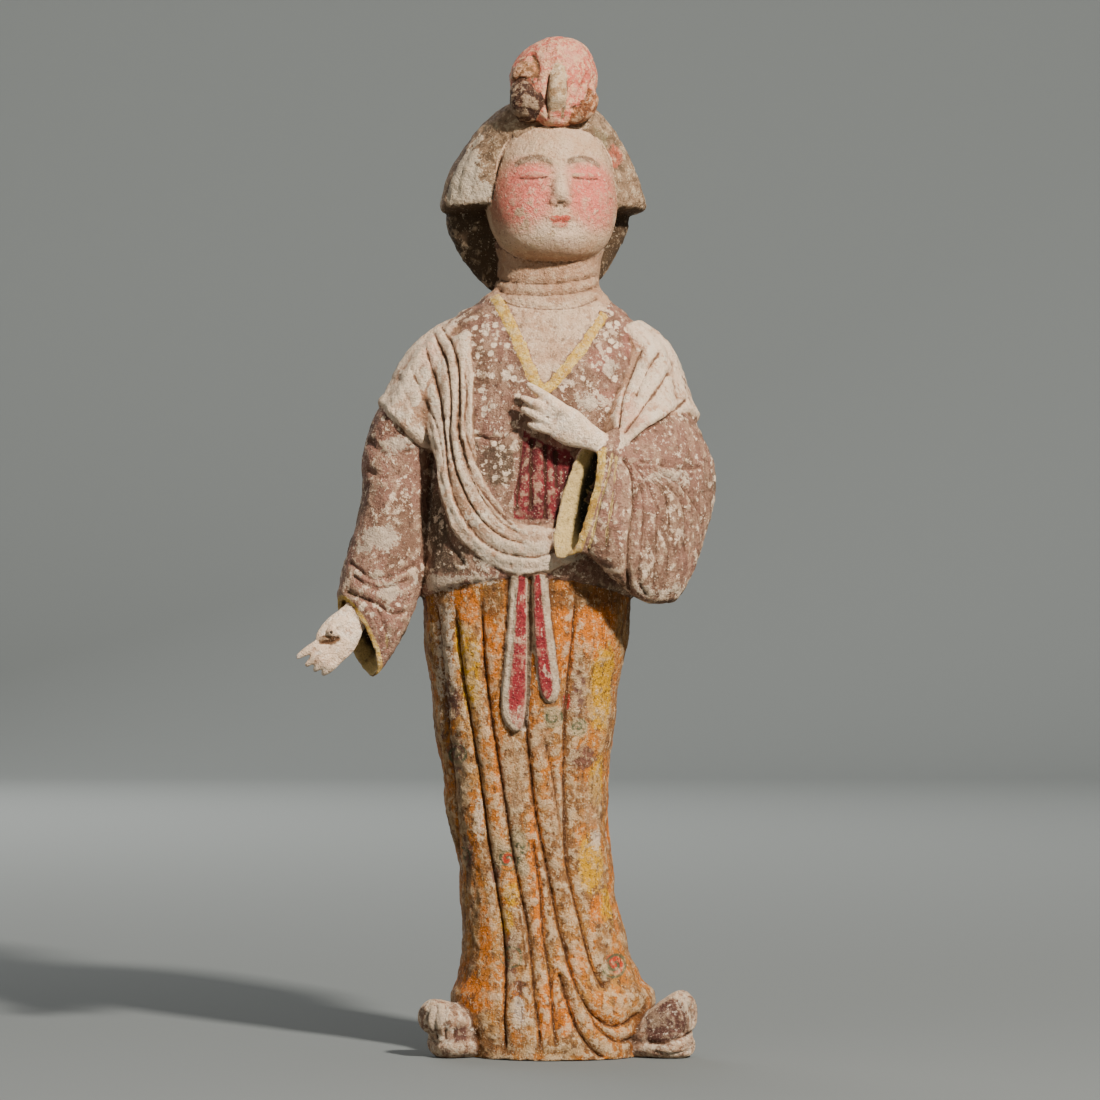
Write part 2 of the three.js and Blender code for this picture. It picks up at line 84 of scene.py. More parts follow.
def catmull(points, count):
    """A smooth curve through points, as count places along it."""
    points = np.asarray(points, float)
    ends = np.vstack([2 * points[0] - points[1], points, 2 * points[-1] - points[-2]])
    place = np.linspace(0, len(points) - 1, count)
    k = np.minimum(place.astype(int), len(points) - 2)
    t = (place - k)[:, None]
    before, start, end, after = (ends[k + i] for i in range(4))
    leave, arrive = 0.5 * (end - before), 0.5 * (after - start)
    square, cube = t * t, t * t * t
    return (
        (2 * cube - 3 * square + 1) * start
        + (cube - 2 * square + t) * leave
        + (3 * square - 2 * cube) * end
        + (cube - square) * arrive
    )


# Closed skins.


def skin(rings):
    """Points and triangles of a closed skin over a stack of rings."""
    rows, sides = rings.shape[:2]
    points = np.vstack([rings.reshape(-1, 3), rings[0].mean(0), rings[-1].mean(0)])
    row, side = np.meshgrid(np.arange(rows - 1), np.arange(sides), indexing="ij")
    a, b = row * sides + side, row * sides + (side + 1) % sides
    walls = np.stack([a, b, b + sides, a, b + sides, a + sides], -1).reshape(-1, 3)
    k = np.arange(sides)
    following, top = (k + 1) % sides, (rows - 1) * sides
    caps = [
        np.stack([following, k, np.full(sides, rows * sides)], 1),
        np.stack([top + k, top + following, np.full(sides, rows * sides + 1)], 1),
    ]
    return points, np.vstack([walls, *caps])


def oval_rings(keys, sides=72, rows=60, boxiness=2.0, relief=None):
    """Rings through ovals. Each key is a centre and two half axes."""
    keys = np.asarray(keys, float)
    stations = catmull(keys.reshape(len(keys), 9), rows + 1).reshape(-1, 3, 3)
    turn = np.arange(sides) / sides * 2 * np.pi
    along = np.linspace(0, 1, rows + 1)
    c, s = (np.sign(v) * np.abs(v) ** (2 / boxiness) for v in (np.cos(turn), np.sin(turn)))
    arms = c[None, :, None] * stations[:, 1, None] + s[None, :, None] * stations[:, 2, None]
    if relief:
        length = np.linalg.norm(arms, axis=2, keepdims=True)
        arms = arms * (1 + relief(turn[None, :], along[:, None])[..., None] / np.maximum(length, 1e-6))
    return stations[:, 0, None] + arms


class Forms:
    """All the closed skins, each with what it is made of."""

    def __init__(self):
        self.points, self.triangles, self.labels, self.count = [], [], [], 0

    def add(self, label, rings, lining_rows=0):
        points, triangles = skin(rings)
        a, b, c = (points[triangles[:, k]] for k in range(3))
        if np.einsum("ij,ij->", a, np.cross(b, c)) < 0:
            triangles = triangles[:, ::-1]
        labels = np.full(len(triangles), LABEL[label])
        if lining_rows:
            sides = rings.shape[1]
            walls = (len(rings) - 1) * sides * 2
            labels[walls - lining_rows * sides * 2 : walls] = LABEL["lining"]
            labels[walls + sides :] = LABEL["lining"]
        self.points.append(points)
        self.triangles.append(triangles + self.count)
        self.labels.append(labels)
        self.count += len(points)

    def ovals(self, label, keys, **shape):
        self.add(label, oval_rings(keys, **shape))


forms = Forms()

BODY = np.array([
    [0, -4, 88, 86, 82], [20, -4, 92, 84, 80], [40, -5, 98, 81, 77], [56, -5, 101, 79, 74],
    [76, -9, 90, 75, 70], [106, -13, 82, 72, 67], [165, -21, 77, 69, 63], [254, -31, 81, 71, 61],
    [343, -33, 91, 78, 64], [432, -31, 102, 86, 70], [500, -28, 103, 90, 77], [545, -24, 102, 89, 80],
    [590, -20, 102, 86, 82], [635, -18, 103, 82, 83], [665, -17, 104, 76, 82], [690, -17, 104, 68, 77],
    [705, -17, 102, 60, 72], [718, -17, 95, 53, 64], [730, -15, 83, 48, 57], [742, -13, 65, 44, 50],
    [756, -10, 52, 42, 45], [775, -9, 50, 43, 42], [800, -8, 54, 47, 38],
], float)
BODY_BOXINESS = 2.35
HEM_HEIGHT = 450
HEM_RISE = 20
HEM_FADE = 60  # the curve of the hem is gone this far above it
HEM_STAND = 2.8 * MM  # how far the jacket stands off the skirt
HEM_REACH = 240  # it lies close again this far above the hem
HEM_LIP = (0.5, 3.0, 4.8)  # the rounded edge of the hem
BACK_FOLD = 1.7 * MM


def body_at(height):
    """Middle, half width, front and back reach of the body, smoothly between the table's rows."""
    places, values = BODY[:, 0], BODY[:, 1:]
    height = np.clip(np.asarray(height, float), places[0], places[-1])
    slopes = np.gradient(values, places, axis=0)
    k = np.clip(np.searchsorted(places, height, side="right") - 1, 0, len(places) - 2)
    span = (places[k + 1] - places[k])[..., None]
    t = ((height - places[k])[..., None]) / span
    bend = t * (1 - t) * ((1 - t) * slopes[k] - t * slopes[k + 1]) * span
    settled = t * t * (3 - 2 * t)
    correction = settled * (values[k + 1] - values[k])
    flat = t * (1 - t) * ((1 - t) - t) * (values[k + 1] - values[k])
    return values[k] + correction + bend - flat


def body_rings(heights, overhang, sides=240, lift=None, back_folds=0.0):
    """Rings of the body, pushed out by overhang, with broad hollow folds down the back."""
    turn = np.pi + np.arange(sides) / sides * 2 * np.pi
    rings = []
    for height, push in zip(heights, overhang):
        middle, half, front, back = body_at(height)
        x = np.sign(np.cos(turn)) * np.abs(np.cos(turn)) ** (2 / BODY_BOXINESS)
        y = np.sign(np.sin(turn)) * np.abs(np.sin(turn)) ** (2 / BODY_BOXINESS)
        reach = np.where(y > 0, back, front)
        fold = back_folds * np.abs(np.cos(5 * turn)) ** 3 * np.clip(np.sin(turn), 0, 1) ** 0.7
        out = np.stack([x / half, y / reach], 1)
        out = out / np.linalg.norm(out, axis=1, keepdims=True)
        spot = np.stack([middle + x * half, y * reach], 1) + out * (push - fold)[:, None]
        z = np.full(sides, float(height))
        if lift is not None:
            z = z + lift(height, x)
        rings.append(np.column_stack([spot, z]))
    return np.array(rings)


def hem_lift(height, off):
    """How much higher the jacket's hem hangs in the middle than at the sides."""
    return HEM_RISE * max(0.0, 1 - (height - HEM_HEIGHT) / HEM_FADE) * (1 - off * off)


def make_body():
    heights = np.linspace(0, 480, 121)
    forms.add("skirt", body_rings(heights, np.zeros(len(heights)), back_folds=BACK_FOLD))
    heights = np.concatenate([[450, 450.6, 452, 454], np.linspace(457, 800, 90)])
    overhang = HEM_STAND * np.clip(1 - (heights - HEM_HEIGHT) / HEM_REACH, 0, 1)
    overhang[: len(HEM_LIP)] = HEM_LIP
    forms.add("jacket", body_rings(heights, overhang, lift=hem_lift))


def laid_band(label, stops, thickness, behind=False, **shape):
    """A flat band on the body. A stop is x, height and half width."""
    stops = catmull(stops, 24)
    x, z, half = stops.T

    def surface(x, z):
        middle, half_width, front, back = np.moveaxis(body_at(z), -1, 0)
        off = np.clip(np.abs(x - middle) / half_width, 0, 0.99)
        depth = (1 - off**BODY_BOXINESS) ** (1 / BODY_BOXINESS)
        return np.stack([x, depth * (back if behind else -front), z], -1)

    at = surface(x, z)
    out = np.cross(surface(x + 1, z) - at, surface(x, z + 1) - at) * (-1 if behind else 1)
    out /= np.linalg.norm(out, axis=1, keepdims=True)
    across = np.cross(np.gradient(at, axis=0), out)
    across /= np.linalg.norm(across, axis=1, keepdims=True)
    keys = np.stack([at, across * half[:, None], out * thickness], 1)
    forms.ovals(label, keys, boxiness=3, **shape)


SASH_ENDS = (
    [[-38, 480, 7.5], [-39, 430, 9.5], [-41, 385, 11], [-43, 349, 12.5], [-42, 332, 10.5], [-40, 321, 4]],
    [[-18, 480, 6.5], [-16, 430, 9], [-12, 390, 10], [-9, 366, 10.5], [-8, 356, 8.5], [-8, 349, 3.5]],
)
RED_SHIFTS = (3.0, -2.5)  # the red of each end lies off its middle
RED_MARGIN = 4.0


COLLAR_SIDES = (
    [[-62, 746, 4.6], [-45, 714, 5.2], [-31, 680, 5.6], [-16, 647, 5.6]],
    [[46, 728, 3.6], [27, 699, 4.4], [7, 672, 4.8], [-13, 649, 5]],
)


def make_trim():
    for stops in COLLAR_SIDES:
        laid_band("collar", stops, 1.0 * MM)
    for stops in SASH_ENDS:
        laid_band("sash", stops, 2.8 * MM)


# The head is built upright round its own middle, then turned and tipped.

HEAD_CENTRE = np.array([-7.0, -8.0, 852.0])
HEAD_TURN = math.radians(8)
HEAD_TIP = math.radians(-5)


def head_frame():
    c, s = math.cos(HEAD_TURN), math.sin(HEAD_TURN)
    turned = np.array([[c, -s, 0], [s, c, 0], [0, 0, 1]])
    c, s = math.cos(HEAD_TIP), math.sin(HEAD_TIP)
    return turned @ np.array([[1, 0, 0], [0, c, -s], [0, s, c]])


HEAD = head_frame()


def on_head(keys):
    """Keys from the head's own frame, turned and tipped into place."""
    keys = np.asarray(keys, float)
    placed = keys @ HEAD.T
    placed[:, 0] += HEAD_CENTRE
    return placed


def level(rows):
    """Keys of level ovals from rows of height, middle x, half width, front y and back y."""
    return [
        [[x, (front + back) / 2, z], [half, 0, 0], [0, (back - front) / 2, 0]]
        for z, x, half, front, back in rows
    ]


def upright(rows):
    """Keys from rows of x, y, height, half width, half depth and how far the depth axis rises."""
    return [[[x, y, z], [half, 0, 0], [0, depth, rise]] for x, y, z, half, depth, rise in rows]


def make_head():
    skull = level([
        [-77, 0, 12, -24, 4], [-71, 0, 34, -46, 16], [-58, 0, 51, -58, 34], [-38, 0, 61, -63, 50],
        [-14, 0, 65, -65, 60], [12, 0, 63, -64, 62], [36, 0, 58, -58, 62], [56, 0, 46, -44, 52],
        [70, 0, 24, -20, 34],
    ])
    nose = upright([
        [0, -55, 20, 9, 4, 0], [0, -59, 8, 6.5, 6, 0], [0, -63, -4, 6.8, 7, 0], [0, -66, -15, 8.5, 8, 0],
        [0, -64, -22, 7, 6, 0],
    ])
    forms.ovals("skull", on_head(skull), sides=120, rows=80)
    forms.ovals("skull", on_head(nose), sides=32, rows=30)
    for side in (-1, 1):
        wing = upright([
            [side * 4, -64, -16, 4, 5, 0], [side * 7, -64, -21, 5, 6, 0], [side * 7, -63, -25, 3, 4, 0],
        ])
        forms.ovals("skull", on_head(wing), sides=20, rows=14)


def make_hair():
    wings = level([
        [-19, -5, 82, -2, 54], [-18, -5, 98, -24, 70], [-14, -5, 102, -29, 77], [-4, -5, 101, -32, 80],
        [18, -5, 94, -36, 83], [42, -4, 81, -40, 81], [66, -3, 63, -43, 70], [83, -2, 43, -37, 54],
        [94, 0, 20, -18, 32],
    ])
    fall = level([
        [-103, -9, 21, 22, 36], [-99, -9, 40, 18, 43], [-88, -8, 57, 14, 54], [-70, -8, 71, 12, 64],
        [-50, -8, 83, 10, 72], [-30, -7, 91, 10, 77], [-10, -7, 91, 12, 77],
    ])
    knot = level([
        [56, 0, 9, -54, -38], [64, -1, 24, -60, -24], [78, -1, 36, -62, -10], [94, -1, 42, -62, 0],
        [110, 0, 43, -60, 6], [126, 2, 38, -56, 8], [139, 4, 27, -48, 4], [147, 5, 11, -34, -8],
    ])
    ridge = upright([
        [-2, -50, 60, 5, 5, -3], [-2, -63, 78, 9, 8, 0], [-1, -63, 96, 8, 8, 2], [1, -58, 112, 6, 5, 2],
        [2, -52, 122, 2, 2, 1],
    ])
    ball = upright([
        [-28, -46, 60, 7, 8, 0], [-30, -50, 68, 14, 14, 0], [-30, -51, 80, 17, 17, 0],
        [-31, -48, 94, 14, 14, 0], [-31, -44, 101, 7, 8, 0],
    ])
    coil = upright([
        [-32, -44, 96, 8, 8, 0], [-31, -47, 104, 13, 12, 0], [-27, -43, 118, 11, 11, 0],
        [-21, -38, 126, 5, 6, 0],
    ])
    roll = upright([
        [16, -50, 58, 6, 6, 0], [23, -51, 66, 12, 10, 0], [29, -48, 78, 12, 10, 0], [34, -38, 92, 8, 9, 0],
    ])
    forms.ovals("hair", on_head(wings), sides=160, rows=90, boxiness=2.4)
    forms.ovals("hair", on_head(fall), sides=120, rows=50, boxiness=2.3)
    forms.ovals("knot", on_head(knot), sides=100, rows=70)
    for name, lock in (("ridge", ridge), ("ball", ball), ("coil", coil), ("roll", roll)):
        forms.ovals(name, on_head(lock), sides=48, rows=36)


# Sleeves end in a cup: the skin turns over the rim and back inside.

WALL = 2.2 * MM
mouths = {}


def outward(rings):
    """The normals of a loft's rows."""
    across = np.cross(np.gradient(rings, axis=0), np.roll(rings, -1, 1) - np.roll(rings, 1, 1))
    across /= np.maximum(np.linalg.norm(across, axis=2, keepdims=True), 1e-9)
    arms = rings - rings.mean(1, keepdims=True)
    return across * np.sign((across * arms).sum())


def cup(name, label, keys, cup_rows, **shape):
    """A sleeve whose last key is its mouth. The lining follows its last rows back inside."""
    rings = oval_rings(keys, **shape)
    centre, first, second = np.asarray(keys[-1], float)
    out = np.cross(first, second)
    out /= np.linalg.norm(out)
    if np.dot(out, centre - np.asarray(keys[-2][0], float)) < 0:
        out = -out
    lining = (rings - WALL * outward(rings))[: -cup_rows - 1 : -1]
    lip = (rings[-1] + lining[0]) / 2 + out * 0.6
    forms.add(label, np.concatenate([rings, [lip], lining]), lining_rows=cup_rows)
    mouths[name] = {"ring": rings[-1], "centre": centre, "out": out}


def fingers(places, width=4.4 * MM):
    """Tapered fingers, each from its knuckle, middle and tip."""
    for knuckle, middle, tip in places:
        knuckle, middle, tip = (np.asarray(p, float) for p in (knuckle, middle, tip))
        along = (tip - knuckle) / np.linalg.norm(tip - knuckle)
        first = np.cross(along, [0, 1, 0])
        first /= np.linalg.norm(first)
        second = np.cross(along, first)
        sizes = ((knuckle, 1.0), (middle, 1.02), ((middle + tip) / 2, 0.92), (tip, 0.5))
        keys = [[p, first * width / 2 * k, second * width / 2 * k] for p, k in sizes]
        forms.ovals("hand", keys, sides=20, rows=24)


def make_lowered_arm():
    keys = [
        [[-84, 0, 702], [-26, 0, 14], [0, 30, 0]],
        [[-118, 0, 671], [-26, 0, 16], [0, 38, 0]],
        [[-143, -2, 632], [-30, 0, 12], [0, 41, 0]],
        [[-156, -5, 597], [-35, 0, 3], [0, 40, 0]],
        [[-159, -12, 545], [-35, 0, 1], [0, 38, 0]],
        [[-166, -21, 500], [-39, 0, 1], [-1, 38, 0]],
        [[-174, -29, 465], [-39, 0, 8], [-3, 35, 0]],
        [[-186, -38, 430], [-30, 0, 25], [-7, 27, -2]],
        [[-196, -43, 410], [-17, 0, 37], [-10, 17, -5]],
    ]
    cup("lowered", "lowered_sleeve", keys, 12, sides=96, rows=120, boxiness=2.2)
    palm = [
        [[-172, -27, 462], [-9, 0, 8], [0, 8, 0]],
        [[-188, -42, 444], [-10, 0, 9], [0, 8, 0]],
        [[-200, -50, 431], [-11, 0, 10], [0, 8, 0]],
        [[-212, -56, 415], [-15, 0, 13], [0, 7, 0]],
        [[-221, -59, 403], [-15, 0, 12], [0, 6, 0]],
        [[-226, -60, 397], [-11, 0, 9], [0, 4, 0]],
    ]
    forms.ovals("hand", palm, sides=48, rows=50)
    fingers([
        [[-225, -60, 411], [-239, -63, 402], [-256, -64, 391]],
        [[-222, -60, 404], [-234, -63, 394], [-247, -60, 383]],
        [[-217, -59, 398], [-228, -62, 388], [-239, -58, 378]],
        [[-211, -57, 393], [-221, -60, 383], [-231, -56, 374]],
        [[-204, -57, 427], [-217, -60, 424], [-229, -60, 415]],
    ])
    peg = [
        [[-221, -58, 417], [4.8, 0, 0], [0, 0, 4.8]], [[-221, -67, 417], [4.6, 0, 0], [0, 0, 4.6]],
        [[-221, -69, 417], [2.5, 0, 0], [0, 0, 2.5]],
    ]
    forms.ovals("hand", peg, sides=24, rows=16)


def make_raised_arm():
    upper_arm = [
        [[62, 0, 706], [20, 0, 10], [0, 30, 0]],
        [[82, 2, 684], [24, 0, 13], [0, 38, 0]],
        [[97, 0, 650], [31, 0, 8], [0, 38, 0]],
        [[106, -6, 615], [31, 0, 4], [0, 35, 0]],
        [[116, -16, 585], [29, 0, 0], [0, 30, 0]],
        [[122, -26, 560], [22, 0, 0], [0, 18, 0]],
    ]
    forms.ovals("raised_sleeve", upper_arm, sides=80, rows=60)
    rows = [
        [150, 588, 154, 552, -24, 4, -3],
        [138, 608, 144, 524, -30, 11, -8],
        [125, 628, 129, 486, -40, 18, -15],
        [112, 634, 114, 450, -52, 20, -22],
        [97, 636, 98, 444, -67, 18, -26],
        [82, 632, 78, 449, -77, 14, -28],
        [66, 622, 54, 468, -88, 10, -28],
        [50, 612, 26, 493, -102, 9, -22],
        [31, 602, 2, 487, -106, 14, -12],
    ]
    keys = [
        [
            [(top_x + low_x) / 2, y, (top_z + low_z) / 2],
            [(top_x - low_x) / 2, -reach_y / 2, (top_z - low_z) / 2],
            [reach_x, reach_y, 0],
        ]
        for top_x, top_z, low_x, low_z, y, reach_x, reach_y in rows
    ]
    cup("raised", "raised_sleeve", keys, 26, sides=120, rows=140, boxiness=2.3)
    palm = [
        [[58, -92, 592], [2, 0, 11], [4, 9, 0]],
        [[42, -102, 600], [3, 0, 10], [4, 9, 0]],
        [[30, -106, 606], [4, 0, 12], [3, 8, 0]],
        [[14, -106, 614], [6, 0, 17], [0, 8, 0]],
        [[1, -104, 621], [7, 0, 16], [0, 6, 0]],
        [[-5, -102, 624], [6, 0, 12], [0, 4, 0]],
    ]
    forms.ovals("hand", palm, sides=48, rows=50)
    fingers([
        [[5, -103, 634], [-12, -103, 645], [-31, -99, 658]],
        [[-2, -105, 627], [-18, -105, 636], [-37, -99, 645]],
        [[-5, -104, 619], [-20, -103, 626], [-36, -98, 634]],
        [[-4, -102, 611], [-17, -101, 615], [-30, -97, 619]],
        [[28, -105, 614], [12, -108, 626], [-7, -108, 638]],
    ], 4.8 * MM)


SHAWL = 3.2 * MM


def grown(keys, amount):
    """The keys of a loft with their half axes made longer by amount."""
    keys = np.asarray(keys, float).copy()
    arms = keys[:, 1:]
    length = np.linalg.norm(arms, axis=2, keepdims=True)
    keys[:, 1:] = arms * (length + amount) / length
    return keys


def pleats(depth, count):
    """A relief of rounded pleats round a loft."""

    def relief(turn, along):
        return -depth * np.cos(turn * count) * np.ones_like(along)

    return relief


def make_shawl():
    lowered_cape = [
        [[-86, 0, 714], [-12, 0, 8], [0, 30, 0]],
        [[-103, 0, 694], [-22, 0, 14], [0, 38, 0]],
        [[-122, 0, 668], [-25, 0, 17], [0, 42, 0]],
        [[-142, -3, 626], [-24, 0, 22], [0, 43, 0]],
        [[-146, -3, 617], [-26, 0, 23], [0, 44, 0]],
        [[-149, -3, 612], [-22, 0, 20], [0, 40, 0]],
    ]
    raised_cape = [
        [[66, 0, 715], [10, 0, 6], [0, 28, 0]],
        [[85, -2, 686], [21, 4, 11], [2, 39, 0]],
        [[86, -18, 647], [35, 12, 13], [8, 46, -3]],
        [[90, -43, 606], [39, 25, 30], [13, 49, -8]],
        [[91, -45, 599], [41, 26, 32], [14, 50, -8]],
        [[91, -45, 595], [36, 23, 28], [13, 45, -7]],
    ]
    swag = [
        [[-98, 8, 714], [12, 0, 10], [-2, 0, 5]],
        [[-107, -36, 694], [19, -8, 13], [-2, -5, 2]],
        [[-108, -51, 656], [23, -12, 8], [-3, -5, 0]],
        [[-105, -60, 620], [20, -12, 4], [-3, -5, 0]],
        [[-100, -66, 590], [17, -9, 4], [-3, -5, 0]],
        [[-92, -75, 556], [18, -7, 7], [-3, -6, 0]],
        [[-74, -85, 520], [19, -4, 12], [-2, -6, 0]],
        [[-45, -91, 498], [4, -1, 22], [0, -6, 0]],
        [[-18, -93, 497], [-1, 0, 20], [0, -6, 0]],
        [[2, -88, 502], [-4, 0, 18], [1, -6, 0]],
        [[16, -80, 508], [-5, 0, 15], [2, -5, 0]],
    ]
    narrow = pleats(1.0, 11)
    forms.ovals("shawl", grown(lowered_cape, SHAWL), sides=120, rows=70, relief=narrow)
    forms.ovals("shawl", grown(raised_cape, SHAWL), sides=120, rows=70, relief=narrow)
    forms.ovals("shawl", grown(swag, SHAWL / 2), sides=96, rows=180, boxiness=2.6, relief=narrow)
    back = [[-98, 684, 24], [-62, 656, 38], [-14, 640, 44], [34, 650, 40], [76, 682, 26]]
    laid_band("shawl", back, SHAWL, behind=True, sides=96, rows=120, relief=pleats(1.6, 9))


def make_shoes():
    def shoe(side, *parts):
        for rows in parts:
            keys = [
                [
                    [side * (36 + 0.88 * reach), -6 - 0.46 * reach, z],
                    [side * 0.46 * half, 0.88 * half, 0],
                    [0, 0, half_height],
                ]
                for reach, z, half, half_height in rows
            ]
            forms.ovals("shoe", keys, sides=60, rows=60)

    right_middle = [[40, 24, 18, 14], [70, 24, 24, 15], [92, 25, 20, 13], [99, 25, 10, 8]]
    left_middle = [[40, 20, 18, 12], [74, 22, 24, 14], [96, 23, 20, 12], [104, 23, 10, 8]]
    right_sole = [[30, 10, 20, 14], [66, 12, 26, 15], [88, 13, 24, 15], [98, 14, 14, 10]]
    right_toe = [[54, 30, 18, 16], [80, 36, 26, 18], [98, 39, 24, 18], [109, 39, 13, 11]]
    left_sole = [[30, 8, 20, 12], [70, 9, 26, 12], [94, 10, 23, 12], [106, 11, 13, 9]]
    left_toe = [[54, 22, 18, 16], [78, 33, 24, 24], [96, 41, 22, 25], [108, 43, 13, 16]]
    shoe(-1, right_sole, right_middle, right_toe)
    shoe(1, left_sole, left_middle, left_toe)


make_body()
make_trim()
make_head()
make_hair()
make_lowered_arm()
make_raised_arm()
make_shawl()
make_shoes()


# One skin over all the forms.


def make_mesh(name, points, triangles):
    """A mesh of triangles from arrays."""
    mesh = bpy.data.meshes.new(name)
    mesh.vertices.add(len(points))
    mesh.vertices.foreach_set("co", np.asarray(points, np.float32).ravel())
    mesh.loops.add(len(triangles) * 3)
    mesh.loops.foreach_set("vertex_index", np.asarray(triangles, np.int32).ravel())
    mesh.polygons.add(len(triangles))
    mesh.polygons.foreach_set("loop_start", np.arange(0, len(triangles) * 3, 3, dtype=np.int32))
    mesh.update(calc_edges=True)
    mesh.validate()
    return mesh


def apply(piece, kind, **settings):
    """Put a modifier on a piece and apply it."""
    modifier = piece.modifiers.new(kind, kind)
    for key, value in settings.items():
        setattr(modifier, key, value)
    with bpy.context.temp_override(object=piece, active_object=piece, selected_objects=[piece]):
        bpy.ops.object.modifier_apply(modifier=modifier.name)


source_points = np.vstack(forms.points)
source_triangles = np.vstack(forms.triangles)
source_labels = np.concatenate(forms.labels)
lady_mesh = make_mesh("court_lady_painted", source_points * SHARE, source_triangles)
lady = bpy.data.objects.new("court_lady_painted", lady_mesh)
bpy.context.scene.collection.objects.link(lady)
apply(lady, "REMESH", mode="VOXEL", voxel_size=VOXEL * 0.001)
apply(lady, "SMOOTH", factor=0.5, iterations=3)


def points_of(mesh):
    flat = np.empty(len(mesh.vertices) * 3, np.float32)
    mesh.vertices.foreach_get("co", flat)
    return flat.reshape(-1, 3).astype(float) / SHARE


def normals_of(mesh):
    flat = np.empty(len(mesh.vertices) * 3, np.float32)
    mesh.vertex_normals.foreach_get("vector", flat)
    return flat.reshape(-1, 3).astype(float)


def set_points(mesh, points):
    mesh.vertices.foreach_set("co", (points * SHARE).astype(np.float32).ravel())
    mesh.update()


source_tree = BVHTree.FromPolygons(source_points.tolist(), source_triangles.tolist())


def labels_at(points):
    """What the skin is made of at each point, from the nearest loft."""
    found = np.empty(len(points), int)
    for k, point in enumerate(points.tolist()):
        found[k] = source_tree.find_nearest(point)[2]
    return source_labels[found]


def segment_distance(places, curve):
    """Distance from places to a polyline, where each is nearest along it, and on which side."""
    best = np.full(len(places), 1e9)
    where, side = np.zeros(len(places)), np.zeros(len(places))
    for k in range(len(curve) - 1):
        start, end = curve[k], curve[k + 1]
        run = end - start
        offset = places - start
        t = np.clip(offset @ run / max(run @ run, 1e-9), 0, 1)
        gap = offset - t[:, None] * run
        distance = np.hypot(gap[:, 0], gap[:, 1])
        closer = distance < best
        best = np.where(closer, distance, best)
        where = np.where(closer, (k + t) / (len(curve) - 1), where)
        side = np.where(closer, np.sign(run[0] * offset[:, 1] - run[1] * offset[:, 0]), side)
    return best, where, side


def inside(places, outline):
    """Signed distance to a closed outline, positive inside."""
    loop = np.vstack([outline, outline[:1]])
    distance, _, _ = segment_distance(places, loop)
    odd = np.zeros(len(places), bool)
    for start, end in zip(loop[:-1], loop[1:]):
        spans = (start[1] > places[:, 1]) != (end[1] > places[:, 1])
        rise = end[1] - start[1] or 1e-9
        cross = start[0] + (places[:, 1] - start[1]) / rise * (end[0] - start[0])
        odd ^= spans & (places[:, 0] < cross)
    return np.where(odd, distance, -distance)


LINE = 1.5  # half the width of a cut at the bottom of a fold
TAPER = 0.05


def groove(places, live, curve, cut, swell, reach):
    """How deep a fold is at each place: a cut between two rounded ridges."""
    curve = catmull(seen(curve), len(curve) * 5)
    depth = np.zeros(len(places))
    low, high = curve.min(0) - reach, curve.max(0) + reach
    near = live & (places > low).all(1) & (places < high).all(1)
    if not near.any():
        return depth
    distance, where, _ = segment_distance(places[near], curve)
    fade = ramp(np.minimum(where, 1 - where), -0.01, TAPER)
    away = np.clip(distance / reach, 0, 1)
    depth[near] = fade * (cut * np.exp(-((distance / LINE) ** 2)) + swell * (1 - away) ** 2.2)
    return depth


# The fold lines, as the photograph shows them from the front.

SKIRT_FOLDS = [
    ([(434, 597), (441, 660), (446, 720), (452, 780), (456, 840), (458, 900)], 2.2, 4.0),
    ([(455, 600), (460, 660), (470, 720), (480, 780), (488, 840), (496, 886), (500.5, 914), (503, 937),
      (504.5, 966), (504.5, 989), (503.4, 1012), (506, 1047)], 2.6, 4.5),
    ([(481, 588), (484.5, 660), (492, 720), (502, 780), (511, 840), (519, 883), (526, 914), (530, 944),
      (532.7, 972), (535, 995), (538.4, 1018), (540, 1047)], 2.4, 4.0),
    ([(529, 573), (527, 701), (527, 733), (531, 768), (534, 798), (540, 831), (548, 868), (551.5, 886),
      (559.5, 926), (565, 944), (570, 963), (578, 983), (588, 1002), (600, 1013), (611, 1019), (623, 1019),
      (632, 1015), (640, 1007)], 2.8, 5.0),
    ([(576, 588), (573, 642), (568.6, 679), (565.4, 725), (564.7, 768), (565.4, 809), (566.5, 853),
      (573, 887), (579, 909), (585, 932), (590.5, 953), (598.5, 972), (606.6, 983)], 2.8, 5.0),
    ([(545, 738), (553.5, 777), (558, 809), (563, 837)], 1.8, 2.5),
    ([(532, 831), (539.6, 883), (542, 920), (545, 944), (549, 967), (552, 1000), (556, 1040)], 2.2, 3.4),
    ([(588, 1002), (597, 1019), (609, 1030), (620, 1035.5), (632, 1034), (641, 1030)], 2.4, 4.0),
    ([(558, 965), (563, 981), (567.5, 997), (574, 1015), (582.5, 1029), (592, 1041), (606, 1052)], 2.8, 5.0),
    ([(527, 977), (521, 981), (518, 990), (518, 999)], 1.6, 1.0),
    ([(519, 905), (524, 940), (527, 965)], 1.2, 1.6),
]
SASH_FOLDS = [
    ([(509, 580), (506, 622), (501, 684), (500, 708)], 1.4, 0.0),
    ([(530, 580), (530, 640), (529, 699), (525, 727)], 2.2, 1.6),
    ([(532, 580), (534, 640), (539, 684), (543, 696)], 1.4, 0.0),
    ([(549, 580), (553, 620), (558, 660), (560, 684)], 1.4, 0.0),
    ([(516, 590), (512, 640), (508, 690)], 1.0, 1.2),
    ([(540, 590), (543, 640), (548, 676)], 0.8, 1.0),
]
